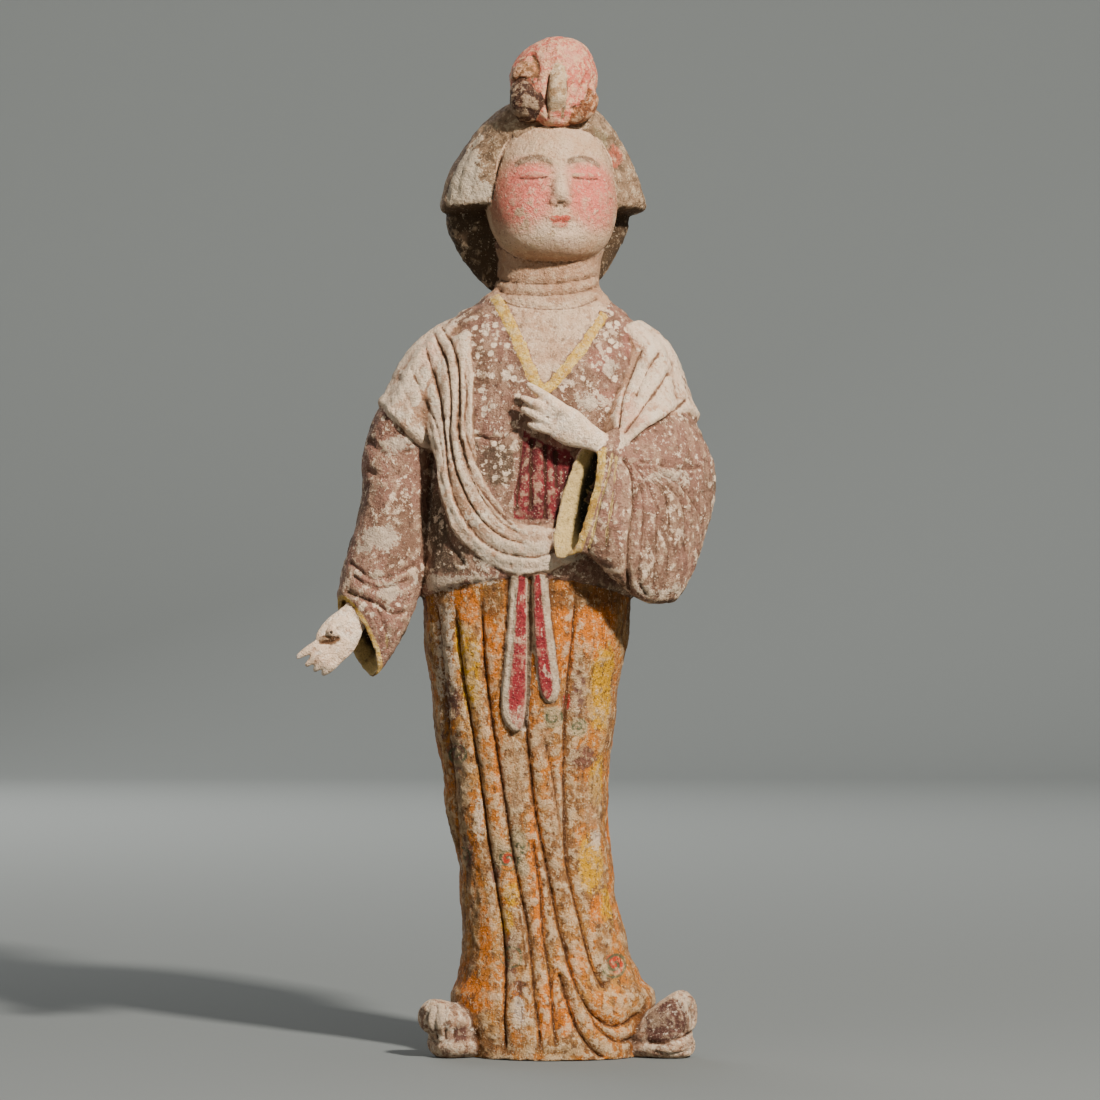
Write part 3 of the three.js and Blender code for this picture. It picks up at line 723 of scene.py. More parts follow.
SHAWL_FOLDS = [
    ([(440, 324), (453, 347), (459, 374), (460, 403), (459, 432), (468, 468), (482, 497), (503, 523),
      (523, 535)], 2.2, 2.4),
    ([(432, 330), (444, 356), (450, 383), (451.5, 412), (450, 438), (459, 479), (476, 512), (500, 535),
      (529, 545)], 2.4, 2.4),
    ([(424, 341), (432, 368), (440, 397), (444, 421), (446, 444), (453, 491), (470, 526), (497, 550),
      (532, 557), (556, 551)], 1.8, 2.2),
    ([(410, 366), (421, 391), (432, 415), (440, 436), (445, 470)], 1.4, 1.2),
    ([(399, 378), (408, 398), (420, 420)], 0.8, 0.8),
    ([(462, 440), (467, 462), (479, 485), (497, 509), (514, 526)], 2.4, 2.0),
    ([(466, 372), (468, 400), (466, 425), (472, 450), (484, 474), (500, 498), (516, 515)], 1.8, 1.6),
    ([(643, 345), (629, 377), (620, 406), (616, 432)], 2.2, 2.6),
    ([(670, 372), (652, 397), (635, 418), (622, 436)], 2.2, 2.6),
    ([(689, 397), (667, 418), (646, 432), (629, 447)], 2.4, 2.6),
    ([(660, 352), (645, 376), (634, 398)], 1.6, 2.0),
]
RAISED_FOLDS = [
    ([(612, 451), (606.6, 475), (597, 508), (590, 540), (586, 553)], 1.8, 2.4),
    ([(616, 453), (612, 497), (606.6, 529), (604.5, 557)], 1.6, 2.2),
    ([(622, 458), (631, 475), (632.7, 508), (628, 540), (625, 584), (627, 594)], 3.2, 5.0),
    ([(628, 462), (641.3, 497), (641, 540), (637, 579), (645, 597)], 1.8, 2.2),
    ([(632, 464), (652, 497), (655.4, 529), (652, 590)], 1.8, 2.4),
    ([(636, 466), (662, 494), (668.5, 529), (665, 580)], 1.8, 2.4),
    ([(640, 466), (672, 492), (683.6, 514), (684, 555)], 1.8, 2.4),
    ([(644, 466), (678, 486), (698, 512), (702, 526)], 1.8, 2.4),
    ([(636, 462), (657, 466), (681, 470), (701, 468)], 1.6, 1.8),
    ([(650, 500), (650, 530), (646, 560)], 1.0, 0.6),
    ([(676, 510), (676, 530), (674, 556)], 1.0, 0.6),
    ([(690, 524), (694, 540), (688, 556)], 1.4, 1.0),
    ([(602, 490), (594, 520), (588, 540)], 1.0, 0.6),
]
LOWERED_FOLDS = [
    ([(346, 590), (357, 595), (371, 600), (382, 605), (390, 611), (400, 613.5), (409, 611)], 2.2, 2.6),
    ([(350, 561), (364, 572), (377, 579), (400, 573), (421, 561)], 1.4, 2.0),
    ([(353, 574), (366, 583), (380, 588), (395, 585), (411, 579)], 1.8, 2.0),
    ([(379, 606), (385, 622), (389, 635), (390.5, 650)], 1.8, 2.0),
    ([(371, 606), (380, 622), (384, 640), (384, 656)], 1.0, 0.8),
    ([(368, 440), (380, 452), (396, 456), (414, 450)], 0.0, 2.6),
    ([(366, 470), (384, 478), (404, 472)], 0.0, 1.8),
    ([(398, 470), (408, 500), (412, 530)], 0.0, 1.4),
]
JACKET_FOLDS = [
    ([(521, 444), (519, 480), (517, 512)], 1.6, 1.6),
    ([(532, 440), (531, 470), (531, 512)], 2.0, 2.2),
    ([(545, 446), (545, 480), (545, 520)], 1.6, 2.0),
    ([(556, 452), (556, 490)], 1.2, 1.6),
    ([(475, 436), (490, 441), (503, 440), (511, 434), (519, 432)], 2.0, 1.6),
    ([(497, 299), (512, 335), (524, 367), (541, 399)], 0.7, 0.0),
    ([(496, 279), (512, 284), (545, 286), (580, 282), (602, 275)], 1.4, 1.4),
    ([(496, 290), (512, 295), (545, 297), (580, 293), (604, 285)], 1.8, 1.6),
    ([(500, 302), (520, 308), (548, 311), (578, 308), (600, 299)], 2.0, 1.6),
    ([(436, 470), (441, 510), (452, 545), (468, 568)], 0.0, 2.0),
]
KNOT_FOLDS = [
    ([(531, 58), (537, 66), (539, 76), (537, 88)], 1.8, 1.4),
    ([(549, 80), (547, 96), (547, 112), (548, 126)], 2.2, 1.6),
    ([(565, 86), (566, 100), (564, 116), (562, 127)], 1.8, 1.4),
    ([(594, 78), (590, 92), (584, 106)], 1.4, 1.2),
    ([(587, 76), (581, 92), (576, 108)], 1.0, 0.8),
    ([(597, 90), (594, 102), (589, 112)], 1.2, 1.0),
    ([(513, 86), (523, 84), (533, 88), (540, 98)], 1.8, 1.2),
    ([(518, 68), (525, 64), (531, 66)], 1.0, 0.8),
    ([(570, 114), (578, 110), (586, 110)], 1.2, 0.8),
]
HAIR_FOLDS = [
    ([(514, 138), (504, 152), (499, 168), (497, 185), (493, 205)], 1.6, 2.4),
    ([(592, 140), (600, 155), (607, 175), (612, 198)], 2.0, 2.4),
    ([(486, 130), (472, 150), (462, 175), (456, 200)], 0.5, 0.8),
    ([(498, 128), (484, 150), (475, 175), (470, 202)], 0.5, 0.8),
    ([(474, 136), (460, 156), (450, 180), (445, 202)], 0.5, 0.8),
    ([(606, 138), (618, 160), (627, 182), (634, 202)], 0.5, 0.8),
    ([(600, 140), (610, 162), (617, 184), (622, 206)], 0.5, 0.8),
]
SHOE_FOLDS = [
    ([(682, 990), (690, 1004), (692, 1018), (690, 1028)], 1.2, 0.8),
    ([(675, 994), (682, 1006), (684, 1018), (682, 1028)], 1.2, 0.8),
    ([(668, 1000), (674, 1010), (676, 1022)], 1.0, 0.6),
    ([(646, 1036), (660, 1036), (676, 1032), (694, 1026)], 1.6, 0.6),
    ([(650, 1044), (668, 1048), (690, 1044)], 0.8, 0.6),
    ([(431, 1001), (427, 1014), (430, 1030)], 1.0, 1.0),
    ([(439, 998), (436, 1014), (438, 1034)], 1.0, 1.0),
    ([(448, 999), (447, 1014), (447, 1034)], 1.0, 1.0),
    ([(456, 1004), (457, 1016), (456, 1032)], 1.0, 1.0),
    ([(426, 1034), (436, 1037), (448, 1036), (460, 1033)], 1.4, 0.4),
]

HAND_FOLDS = [
    ([(318, 639), (325, 641), (334, 640), (343, 635)], 5.0, 0.0),
    ([(566, 398), (560, 410), (556, 420)], 0.6, 0.6),
]


EYE_OUT = 25  # from the middle of the face to the middle of an eye
SLIT_OUT = 25.5
FACE_FRONT, FACE_FOOT, FACE_TOP = -18, -72, 30


def lid_line(x, side):
    """The height of the line between the lids of one eye."""
    return 0.9 + 0.010 * (x - side * EYE_OUT) ** 2


def face_relief(local):
    """How far the face stands out from the skull, by place in the head's own frame."""
    x, z = local[:, 0], local[:, 2]

    def mound(centre_x, centre_z, wide, high, rise):
        return rise * np.exp(-(((x - centre_x) / wide) ** 2) - ((z - centre_z) / high) ** 2)

    out = mound(0, -58, 15, 9, 3.4) - mound(0, -51, 11, 2.2, 1.2)
    for side in (-1, 1):
        out += mound(side * 34, -24, 18, 20, 3.0)
        out += mound(side * EYE_OUT, 6, 13, 5.5, 3.6) + mound(side * EYE_OUT, -3, 11, 3.2, 1.6)
        out -= mound(side * 15, 11, 8, 5, 2.0)
        out += mound(side * 22, 19, 15, 3.2, 1.4)
        slit = np.abs(z - lid_line(x, side))
        from_end = 15 - np.abs(x - side * SLIT_OUT)
        out -= 1.5 * ramp(from_end, 0, 4) * np.exp(-((slit / 1.1) ** 2))
        crease = np.abs(z - 9.5 + 0.022 * (x - side * EYE_OUT) ** 2)
        out -= 0.7 * ramp(from_end, 0, 5) * np.exp(-((crease / 1.3) ** 2))
        out += mound(side * 4.6, -37.6, 4.2, 2.0, 2.4)
        out -= mound(side * 13.5, -40.5, 2.4, 2.2, 1.2)
        out -= mound(side * 3.8, -26.6, 2.0, 1.4, 2.0)
    out += mound(0, -44.2, 7.2, 2.4, 3.0)
    out -= mound(0, -32.5, 1.9, 3.6, 0.9)
    line = np.abs(z + 40.8 - 0.6 * np.cos(x / 2.6) * (np.abs(x) < 8) + 0.004 * x * x)
    out -= 1.6 * ramp(12.5 - np.abs(x), 0, 3.5) * np.exp(-((line / 0.9) ** 2))
    return out


def head_local(points):
    return (points - HEAD_CENTRE) @ HEAD


def rough(points, size, seed, octaves=3):
    """Soft noise for each point, about -1 to 1, of a size in shares."""
    shift = Vector((seed * 13.7, seed * 5.1, seed * 9.3))
    scale = 1 / size
    return np.array([
        noise.fractal(Vector(p) * scale + shift, 1.0, 2.0, octaves, noise_basis="PERLIN_ORIGINAL")
        for p in points.tolist()
    ])


def carve(mesh):
    """Fold lines, the face, and the hand-made unevenness of the clay."""
    points, normals = points_of(mesh), normals_of(mesh)
    labels = labels_at(points)
    places = points[:, [0, 2]]
    faces_front = normals[:, 1] < 0.25

    def of(*names):
        return faces_front & np.isin(labels, [LABEL[name] for name in names])

    depth = np.zeros(len(points))
    groups = [
        (SKIRT_FOLDS, of("skirt"), 11, 1.05),
        (SASH_FOLDS, of("skirt", "sash"), 4, 1.0),
        (SHAWL_FOLDS, of("shawl"), 5, 0.8),
        (RAISED_FOLDS, of("raised_sleeve"), 8, 0.95),
        (LOWERED_FOLDS, of("lowered_sleeve"), 9, 1.1),
        (JACKET_FOLDS, of("jacket"), 6, 1.2),
        (KNOT_FOLDS, of("knot", "coil", "ball", "roll"), 5, 1.2),
        (HAIR_FOLDS, of("hair"), 7, 1.2),
        (SHOE_FOLDS, of("shoe"), 4, 1.9),
        (HAND_FOLDS, of("hand"), 4, 1.0),
    ]
    for folds, live, reach, strength in groups:
        total = np.zeros(len(points))
        for curve, cut, swell in folds:
            total = np.maximum(total, groove(places, live, curve, 0.7 * cut, strength * swell, reach))
        depth += total
    facing = ramp(-normals[:, 1], -0.2, 0.45)
    moved = points - normals * (depth * facing)[:, None]
    local = head_local(points)
    on_face = (labels == LABEL["skull"]) & (local[:, 1] < FACE_FRONT)
    on_face &= (local[:, 2] > FACE_FOOT) & (local[:, 2] < FACE_TOP)
    forward = HEAD @ np.array([0.0, -1.0, 0.0])
    rise = face_relief(local) * ramp(-local[:, 1], 18, 40)
    moved[on_face] += forward * rise[on_face, None]
    smooth = np.isin(labels, [LABEL[name] for name in ("skull", "hand", "collar", "shoe", "sash")])
    lumps = 1.1 * rough(points, 26, 1) + 0.9 * rough(points, 8, 2)
    moved += normals * (lumps * np.where(smooth, 0.25, 1.0))[:, None]
    low, high = (np.array(corner) / SHARE for corner in (LOW, HIGH))
    set_points(mesh, np.clip(moved, low, high))


carve(lady.data)
triangles = sum(len(polygon.vertices) - 2 for polygon in lady.data.polygons)
if triangles > MOST_TRIANGLES:
    apply(lady, "DECIMATE", ratio=MOST_TRIANGLES / triangles)
for polygon in lady.data.polygons:
    polygon.use_smooth = True


# Fields for the paint.

mesh = lady.data
points, normals = points_of(mesh), normals_of(mesh)
labels = labels_at(points)
places = points[:, [0, 2]]
edges = np.empty(len(mesh.edges) * 2, np.int32)
mesh.edges.foreach_get("vertices", edges)
edges = edges.reshape(-1, 2)
degree = np.bincount(edges.ravel(), minlength=len(points)).astype(float)


def spread(values, times):
    """Each value averaged with its neighbours', some times over at the fine voxel size."""
    for _ in range(max(1, round(times * (FINE_VOXEL / VOXEL) ** 2))):
        total = np.bincount(edges[:, 0], values[edges[:, 1]], len(points))
        total += np.bincount(edges[:, 1], values[edges[:, 0]], len(points))
        values = 0.4 * values + 0.6 * total / degree
    return values


def field(name, values):
    """Store one number for each point of the skin, for the paint to read."""
    attribute = mesh.attributes.new(name, "FLOAT", "POINT")
    attribute.data.foreach_set("value", np.asarray(values, np.float32))


def hollowness(times):
    """Positive in hollows and negative on edges, in shares."""
    smooth = np.stack([spread(points[:, k], times) for k in range(3)], 1)
    return np.einsum("ij,ij->i", smooth - points, normals)


# How far each point lies in a hollow, finely and broadly. The paint uses these for painted shade in hollows
# and a painted highlight on edges.
field("hollow", hollowness(5))
field("dip", hollowness(28))
for name in LABELS[4:] + ["skirt"]:
    field("of_" + name, spread((labels == LABEL[name]).astype(float), 1))

front = normals[:, 1] < 0.3
turned = ramp(spread(normals[:, 1], 40), -0.5, -0.2)
field("turned", turned)
BIG = 40.0  # how far a field drops where its paint has no place


def on_front(values):
    """Values that fall away round the sides and back."""
    return values - BIG * turned


def oval(across, up, x, y, wide, high, rise):
    """A soft oval, positive inside and as much as rise in its middle."""
    return (1 - np.hypot((across - x) / wide, (up - y) / high)) * rise


def patch(x, y, wide, high):
    """A soft oval round a photo pixel, on the points as seen from the front."""
    return oval(*places.T, *seen([(x, y)])[0], wide, high, min(wide, high))


NECKLINE = seen([
    (478, 288), (486, 296), (497, 300), (512, 335), (526, 368), (541, 397), (562, 372), (582, 344),
    (602, 318), (612, 300), (620, 286), (618, 250), (478, 250),
])
NAPE = 748  # bare skin starts at this height behind
chest = inside(places, NECKLINE)
neck = np.where(front, chest, np.where(points[:, 2] > NAPE, 6.0, -BIG))
field("chest", np.where(labels == LABEL["jacket"], neck, -BIG))

PANEL = seen([
    (524, 432), (536, 440), (552, 448), (568, 452), (574, 462), (568, 480), (562, 520), (514, 520),
    (514, 500), (520, 470),
])
field("panel", on_front(np.where(labels == LABEL["jacket"], inside(places, PANEL), -BIG)))


def near_mouth(name, label):
    """Distance from the edge of a sleeve's mouth, on that sleeve alone."""
    ring = mouths[name]["ring"]
    own = labels == LABEL[label]
    gap = np.full(len(points), BIG)
    difference = points[own][:, None] - ring[None]
    gap[own] = np.sqrt((difference**2).sum(2)).min(1)
    return gap


rim = np.full(len(points), -BIG)
for name, label, width in (("lowered", "lowered_sleeve", 5.0), ("raised", "raised_sleeve", 9.0)):
    rim = np.maximum(rim, width - near_mouth(name, label))
WRIST = (598, 451, 7, 17)
raised = labels == LABEL["raised_sleeve"]
rim = np.where(raised, np.maximum(rim, on_front(patch(*WRIST))), rim)
field("rim", rim)
NEAR_RIM = seen([(594, 436), (588, 476), (577, 512), (562, 560), (660, 560), (660, 436)])
field("far_lip", np.where(raised, np.minimum(rim + 3, -inside(places, NEAR_RIM)), -BIG))

sash_core = np.full(len(points), -BIG)
for stops, shift in zip(SASH_ENDS, RED_SHIFTS):
    middle_line = catmull(stops, 24)
    gap, where, _ = segment_distance(places - [shift, 0], middle_line[:, :2])
    half = np.interp(where, np.linspace(0, 1, len(middle_line)), middle_line[:, 2])
    sash_core = np.maximum(sash_core, half - RED_MARGIN - gap)
WORN_LINE = [(498, 716), (512, 708), (532, 700)]  # the red is worn off along this line
across_end = segment_distance(places, seen(WORN_LINE))[0]
field("sash_core", np.minimum(sash_core, across_end - 1.5))

# How deep each point of the lining lies inside its sleeve, for the painted shade there.
MOUTH_REACH = 90  # each sleeve's lining is this close to the middle of its mouth
depth_in = np.zeros(len(points))
own = labels == LABEL["lining"]
for mouth in mouths.values():
    gap = (mouth["centre"] - points) @ mouth["out"]
    close = own & (np.linalg.norm(points - mouth["centre"], axis=1) < MOUTH_REACH)
    depth_in[close] = gap[close]
field("depth_in", depth_in)

# Patches of paint and crust, some of them painted shade, as the photograph shows them: x, y, half width and
# half height in pixels.
PATCHES = {
    "yellow": [
        (601, 692, 15, 36), (606, 664, 9, 20), (471, 668, 10, 38), (461, 640, 6, 20), (430, 655, 4, 50),
        (610, 900, 9, 20), (598, 780, 10, 24), (508, 918, 6, 12), (590, 860, 12, 30), (512, 890, 8, 12),
    ],
    "orange": [
        (430, 634, 5, 36), (468, 606, 12, 20), (492, 640, 10, 44), (564, 630, 12, 44), (595, 625, 20, 34),
        (533, 843, 6, 40), (530, 640, 5, 30), (538, 900, 6, 40), (486, 930, 6, 30), (476, 990, 20, 16),
        (564, 1010, 10, 20), (600, 905, 12, 14), (575, 960, 8, 16), (620, 880, 6, 30), (500, 760, 5, 30),
        (546, 1000, 8, 30),
    ],
    "worn": [
        (514, 776, 14, 46), (445, 650, 9, 56), (585, 690, 8, 30), (474, 905, 6, 22), (520, 1008, 9, 20),
        (556, 800, 8, 40), (460, 790, 8, 40), (462, 880, 8, 30), (542, 740, 12, 20), (595, 800, 12, 30),
    ],
    "maroon": [
        (454, 700, 9, 22), (457, 752, 10, 20), (449, 690, 5, 20), (513, 938, 7, 12), (511, 966, 6, 14),
        (466, 851, 9, 16), (519, 985, 5, 10), (582, 755, 13, 12), (567, 700, 5, 8), (497, 868, 5, 10),
        (442, 735, 4, 20), (578, 690, 6, 24),
    ],
    "red": [
        (508.5, 855, 6, 6), (567, 699, 4, 7), (617, 962, 6, 7), (612, 955, 6, 5),
    ],
    "green": [
        (553, 715, 10, 10), (578, 725, 9, 9), (499, 850, 6, 16), (518, 842, 9, 18), (604, 966, 5, 8),
        (524, 864, 7, 7),
    ],
    "tan": [
        (462, 440, 10, 50), (474, 480, 22, 30), (500, 520, 26, 20), (448, 380, 8, 40), (532, 540, 16, 12),
        (418, 420, 14, 14), (640, 430, 16, 10), (470, 520, 10, 20),
    ],
    "white": [
        (595, 837, 7, 9), (452, 640, 3, 40), (440, 660, 3, 40), (480, 820, 4, 20), (520, 1005, 6, 18),
    ],
    "crust": [
        (462, 172, 18, 34), (480, 196, 14, 12), (448, 196, 12, 14), (470, 140, 14, 10), (588, 404, 14, 8),
        (608, 369, 7, 7), (380, 538, 20, 12), (398, 446, 13, 9), (366, 548, 10, 5), (444, 582, 22, 8),
        (480, 578, 14, 5), (392, 592, 10, 10), (376, 575, 10, 4), (500, 560, 24, 8), (560, 556, 18, 6),
        (512, 548, 20, 5), (446, 650, 4, 40), (676, 590, 8, 6), (640, 590, 10, 5), (668, 478, 18, 5),
        (434, 1010, 16, 14), (690, 996, 12, 8), (697, 1012, 4, 16),
    ],
    "pink": [
        (555, 445, 10, 6), (630, 345, 9, 14), (625, 415, 10, 22), (640, 420, 8, 12), (614, 158, 8, 12),
        (600, 362, 12, 14), (604, 400, 12, 8), (430, 350, 8, 20), (540, 350, 20, 20), (470, 850, 8, 8),
    ],
    "spots": [
        (480, 350, 30, 56), (492, 420, 30, 34), (610, 330, 24, 30), (480, 460, 24, 24), (400, 430, 26, 20),
        (505, 400, 22, 30), (380, 600, 26, 14), (450, 330, 20, 20), (600, 390, 22, 26),
    ],
    # Olive: dark paint between the swag and the panel, and painted shade between the lowered arm and the
    # body and under the jacket's hem.
    "olive": [
        (498, 466, 18, 22), (470, 455, 10, 26), (440, 520, 12, 40), (452, 560, 18, 14), (575, 590, 40, 8),
        (494, 600, 12, 16),
    ],
    # Umber: brown paint, and painted shade under the jacket's hem and the raised sleeve, down the skirt's
    # edges, along its foot and beside the right shoe.
    "umber": [
        (430, 700, 4, 90), (575, 598, 60, 10), (494, 600, 12, 20), (445, 780, 5, 60), (612, 800, 5, 80),
        (560, 1040, 60, 8), (644, 990, 8, 24),
    ],
    "moss": [
        (470, 128, 18, 8), (455, 180, 10, 26), (600, 150, 8, 18),
    ],
}
# Loose patches on the sides and back: size and strength in shares, and the noise level they start from.
LOOSE = {
    "orange": (70, 14, 0.2), "umber": (70, 16, 0.2), "worn": (30, 10, 0.2),
    "crust": (34, 14, 0.5), "spots": (60, 30, 0.0), "olive": (50, 20, 0.3),
}
for name, patches in PATCHES.items():
    value = on_front(np.maximum.reduce([patch(*spot) for spot in patches]).clip(-BIG))
    if name in LOOSE:
        size, height, level_off = LOOSE[name]
        loose = (rough(points, size, len(name)) - level_off) * height
        value = np.maximum(value, loose - BIG * (1 - turned))
    field(name, value)

local = head_local(points)
x, z = local[:, 0], local[:, 2]
on_skull = (labels == LABEL["skull"]) & (local[:, 1] < -14)
blush, brow, lips, lash = (np.full(len(points), -BIG) for _ in range(4))
for side in (-1, 1):
    cheek = oval(x, z, side * 36, -14, 28, 32, 25)
    lid = oval(x, z, side * 29, 8, 20, 9, 14)
    blush = np.maximum(blush, np.maximum(cheek, lid))
    arch = np.abs(z - 22 + 0.018 * (x - side * 24) ** 2)
    brow = np.maximum(brow, np.minimum(2.6 - arch, 17 - np.abs(x - side * EYE_OUT)))
    slit = np.abs(z - lid_line(x, side))
    lash = np.maximum(lash, np.minimum(1.0 - slit, 14 - np.abs(x - side * SLIT_OUT)))
    lips = np.maximum(lips, oval(x, z, side * 4.6, -38, 6.4, 3.4, 4))
lips = np.maximum(lips, oval(x, z, 0, -43.6, 8.4, 4.0, 4))
for name, value in (("blush", blush), ("brow", brow), ("lips", lips), ("lash", lash)):
    field(name, np.where(on_skull, value, -BIG))
chin = oval(x, z, 0, -56, 26, 18, 18)
nose_line = oval(x, z, 0, -8, 6, 24, 6)
field("fair", np.where(on_skull, np.maximum(chin, nose_line), -BIG))
# Under the chin and at the far sides of the face: earth with painted shade.
field("earth_and_shade", np.where(on_skull, np.maximum(-62 - z, np.abs(x) - 52), -BIG))
# The underside of the hair below the wings, at the front: painted shade, with some earth.
behind = ramp(spread(normals[:, 1], 20), 0.1, 0.5)
field("under", np.where(labels == LABEL["hair"], -17 - z, -BIG) - BIG * behind)
# The hollows of the shoes, seen from the front, where the paint lays painted shade.
SHOE_HOLLOWS = (
    [(645, 1010), (662, 993), (677, 993), (686, 1006), (684, 1022), (676, 1031), (660, 1036), (645, 1036)],
    [(455, 1024), (462, 1014), (468, 1020), (468, 1036), (456, 1036)],
)
shaded_shoe_hollow = np.maximum(*(inside(places, seen(outline)) for outline in SHOE_HOLLOWS))
field("shaded_shoe_hollow", on_front(shaded_shoe_hollow))
# A band of the neck under the jaw, darkened as painted shade.
THROAT_FOOT, THROAT_TOP = 742, 806
field("throat_shade", np.minimum(points[:, 2] - THROAT_FOOT, THROAT_TOP - points[:, 2]))
BROKEN_THUMB = (331, 639, 13, 4.5)
field("broken", on_front(np.where(labels == LABEL["hand"], patch(*BROKEN_THUMB), -BIG)))


# The paint.


def srgb(red, green, blue):
    """A colour in linear light from screen values up to 255."""

    def line(value):
        value /= 255
        return value / 12.92 if value <= 0.04045 else ((value + 0.055) / 1.055) ** 2.4

    return (line(red), line(green), line(blue), 1.0)


class Graph:
    """A material's nodes, built by short calls."""

    def __init__(self, name):
        self.material = bpy.data.materials.new(name)
        self.material.use_nodes = True
        self.nodes = self.material.node_tree.nodes
        self.links = self.material.node_tree.links
        self.shader = self.nodes["Principled BSDF"]
        self.place = self.add("ShaderNodeTexCoord").outputs["Object"]

    def add(self, kind, **settings):
        node = self.nodes.new(kind)
        for key, value in settings.items():
            setattr(node, key, value)
        return node

    def feed(self, socket, value):
        if isinstance(value, bpy.types.NodeSocket):
            self.links.new(value, socket)
        else:
            socket.default_value = value

    def math(self, operation, first, second=0.0):
        node = self.add("ShaderNodeMath", operation=operation)
        self.feed(node.inputs[0], first)
        self.feed(node.inputs[1], second)
        return node.outputs[0]

    def total(self, *terms):
        """The sum of value and weight pairs, each value taken about its middle."""
        whole = 0.0
        for value, weight in terms:
            centred = self.math("SUBTRACT", value, 0.5)
            whole = self.math("ADD", self.math("MULTIPLY", centred, weight), whole)
        return whole

    def field(self, name):
        return self.add("ShaderNodeAttribute", attribute_name=name).outputs["Fac"]

    def step(self, value, low, high, to_low=0.0, to_high=1.0):
        node = self.add("ShaderNodeMapRange", interpolation_type="SMOOTHSTEP")
        for index, part in enumerate((value, low, high, to_low, to_high)):
            self.feed(node.inputs[index], part)
        return node.outputs[0]

    def mix(self, amount, first, second, blend="MIX"):
        node = self.add("ShaderNodeMix", data_type="RGBA", blend_type=blend)
        self.feed(node.inputs["Factor"], amount)
        self.feed(node.inputs[6], first)
        self.feed(node.inputs[7], second)
        return node.outputs[2]

    def stretched(self, stretch, shift):
        node = self.add("ShaderNodeMapping")
        self.feed(node.inputs["Vector"], self.place)
        node.inputs["Location"].default_value = (shift, shift * 0.7, shift * 1.3)
        node.inputs["Scale"].default_value = stretch
        return node.outputs[0]

    def noise(self, size_mm, detail=3.0, shift=0.0, stretch=(1, 1, 1), rough=0.55):
        node = self.add("ShaderNodeTexNoise")
        self.feed(node.inputs["Vector"], self.stretched(stretch, shift))
        node.inputs["Scale"].default_value = 1000 / size_mm
        node.inputs["Detail"].default_value = detail
        node.inputs["Roughness"].default_value = rough
        return node.outputs["Fac"]

    def cells(self, size_mm, shift=0.0):
        node = self.add("ShaderNodeTexVoronoi")
        self.feed(node.inputs["Vector"], self.stretched((1, 1, 1), shift))
        node.inputs["Scale"].default_value = 1000 / size_mm
        return node.outputs["Distance"], node.outputs["Color"]


g = Graph("worn_painted_clay")
broad = g.noise(55, 4, 0.3, rough=0.6)
middle = g.noise(15, 5, 0.9, rough=0.62)
small = g.noise(5, 5, 1.7, rough=0.65)
fine = g.noise(2.2, 4, 2.9, rough=0.7)
other = g.noise(3.1, 4, 5.3, rough=0.72)
grain = g.noise(1.1, 3, 2.3, rough=0.7)
grit = g.noise(0.6, 2, 3.1, rough=0.8)
streaks = g.noise(6, 5, 4.3, stretch=(1, 1, 0.2), rough=0.65)
flow = g.noise(9, 5, 6.1, stretch=(1, 1, 0.25), rough=0.6)
hairs = g.noise(2.4, 4, 7.7, stretch=(1, 1, 0.3), rough=0.7)
ragged = g.total((small, 1.0), (fine, 0.8), (grain, 0.5))


def both(first, second):
    return g.math("MULTIPLY", first, second)


def edged(name, wander, soft, at=0.0):
    """A painted field with a worn edge. The field is in shares, positive inside."""
    return g.step(g.math("ADD", g.field(name), both(ragged, wander)), at - soft, at + soft)


def zone(name, wander=0.3):
    """Where the skin is one of the labelled kinds, with a slightly ragged edge."""
    return g.step(g.math("ADD", g.field("of_" + name), both(ragged, wander)), 0.4, 0.6)


def above(source, level, soft=0.05):
    """A mask of where a noise is over a level."""
    return g.step(source, level - soft, level + soft)


def below(source, level, soft=0.05):
    """A mask of where a noise is under a level."""
    return g.step(source, level + soft, level - soft)


def paint(tint):
    """A colour for a socket, from red, green and blue or from a coat that is made already."""
    return srgb(*tint) if isinstance(tint, tuple) else tint


def mottled(ground, *layers):
    """A coat of colours laid over a ground. Each layer is a mask, a colour and, if not full, a strength."""
    coat = paint(ground)
    for mask, tint, *strength in layers:
        coat = g.mix(both(mask, *strength) if strength else mask, coat, paint(tint))
    return coat


# Painted curls: x, y, radius and the gap between turns, in photo pixels, and which way they turn.
CURLS = (
    (553, 715, 11, 6.0, 1), (578, 725, 10, 5.5, -1), (508.5, 855, 13, 7.0, 1), (522, 842, 9, 5.0, -1),
    (614, 960, 14, 7.0, 1), (512, 950, 13, 6.5, 1), (457, 752, 12, 6.5, -1), (462, 853, 10, 6.0, 1),
)


def seen_reach(x, y):
    """Distance from a photo pixel, and the offsets, as seen from the front."""
    split = g.add("ShaderNodeSeparateXYZ")
    g.feed(split.inputs[0], g.place)
    centre = seen([(x, y)])[0] * SHARE
    off_x = g.math("SUBTRACT", split.outputs["X"], centre[0])
    off_z = g.math("SUBTRACT", split.outputs["Z"], centre[1])
    return g.math("SQRT", g.math("ADD", both(off_x, off_x), both(off_z, off_z))), off_x, off_z


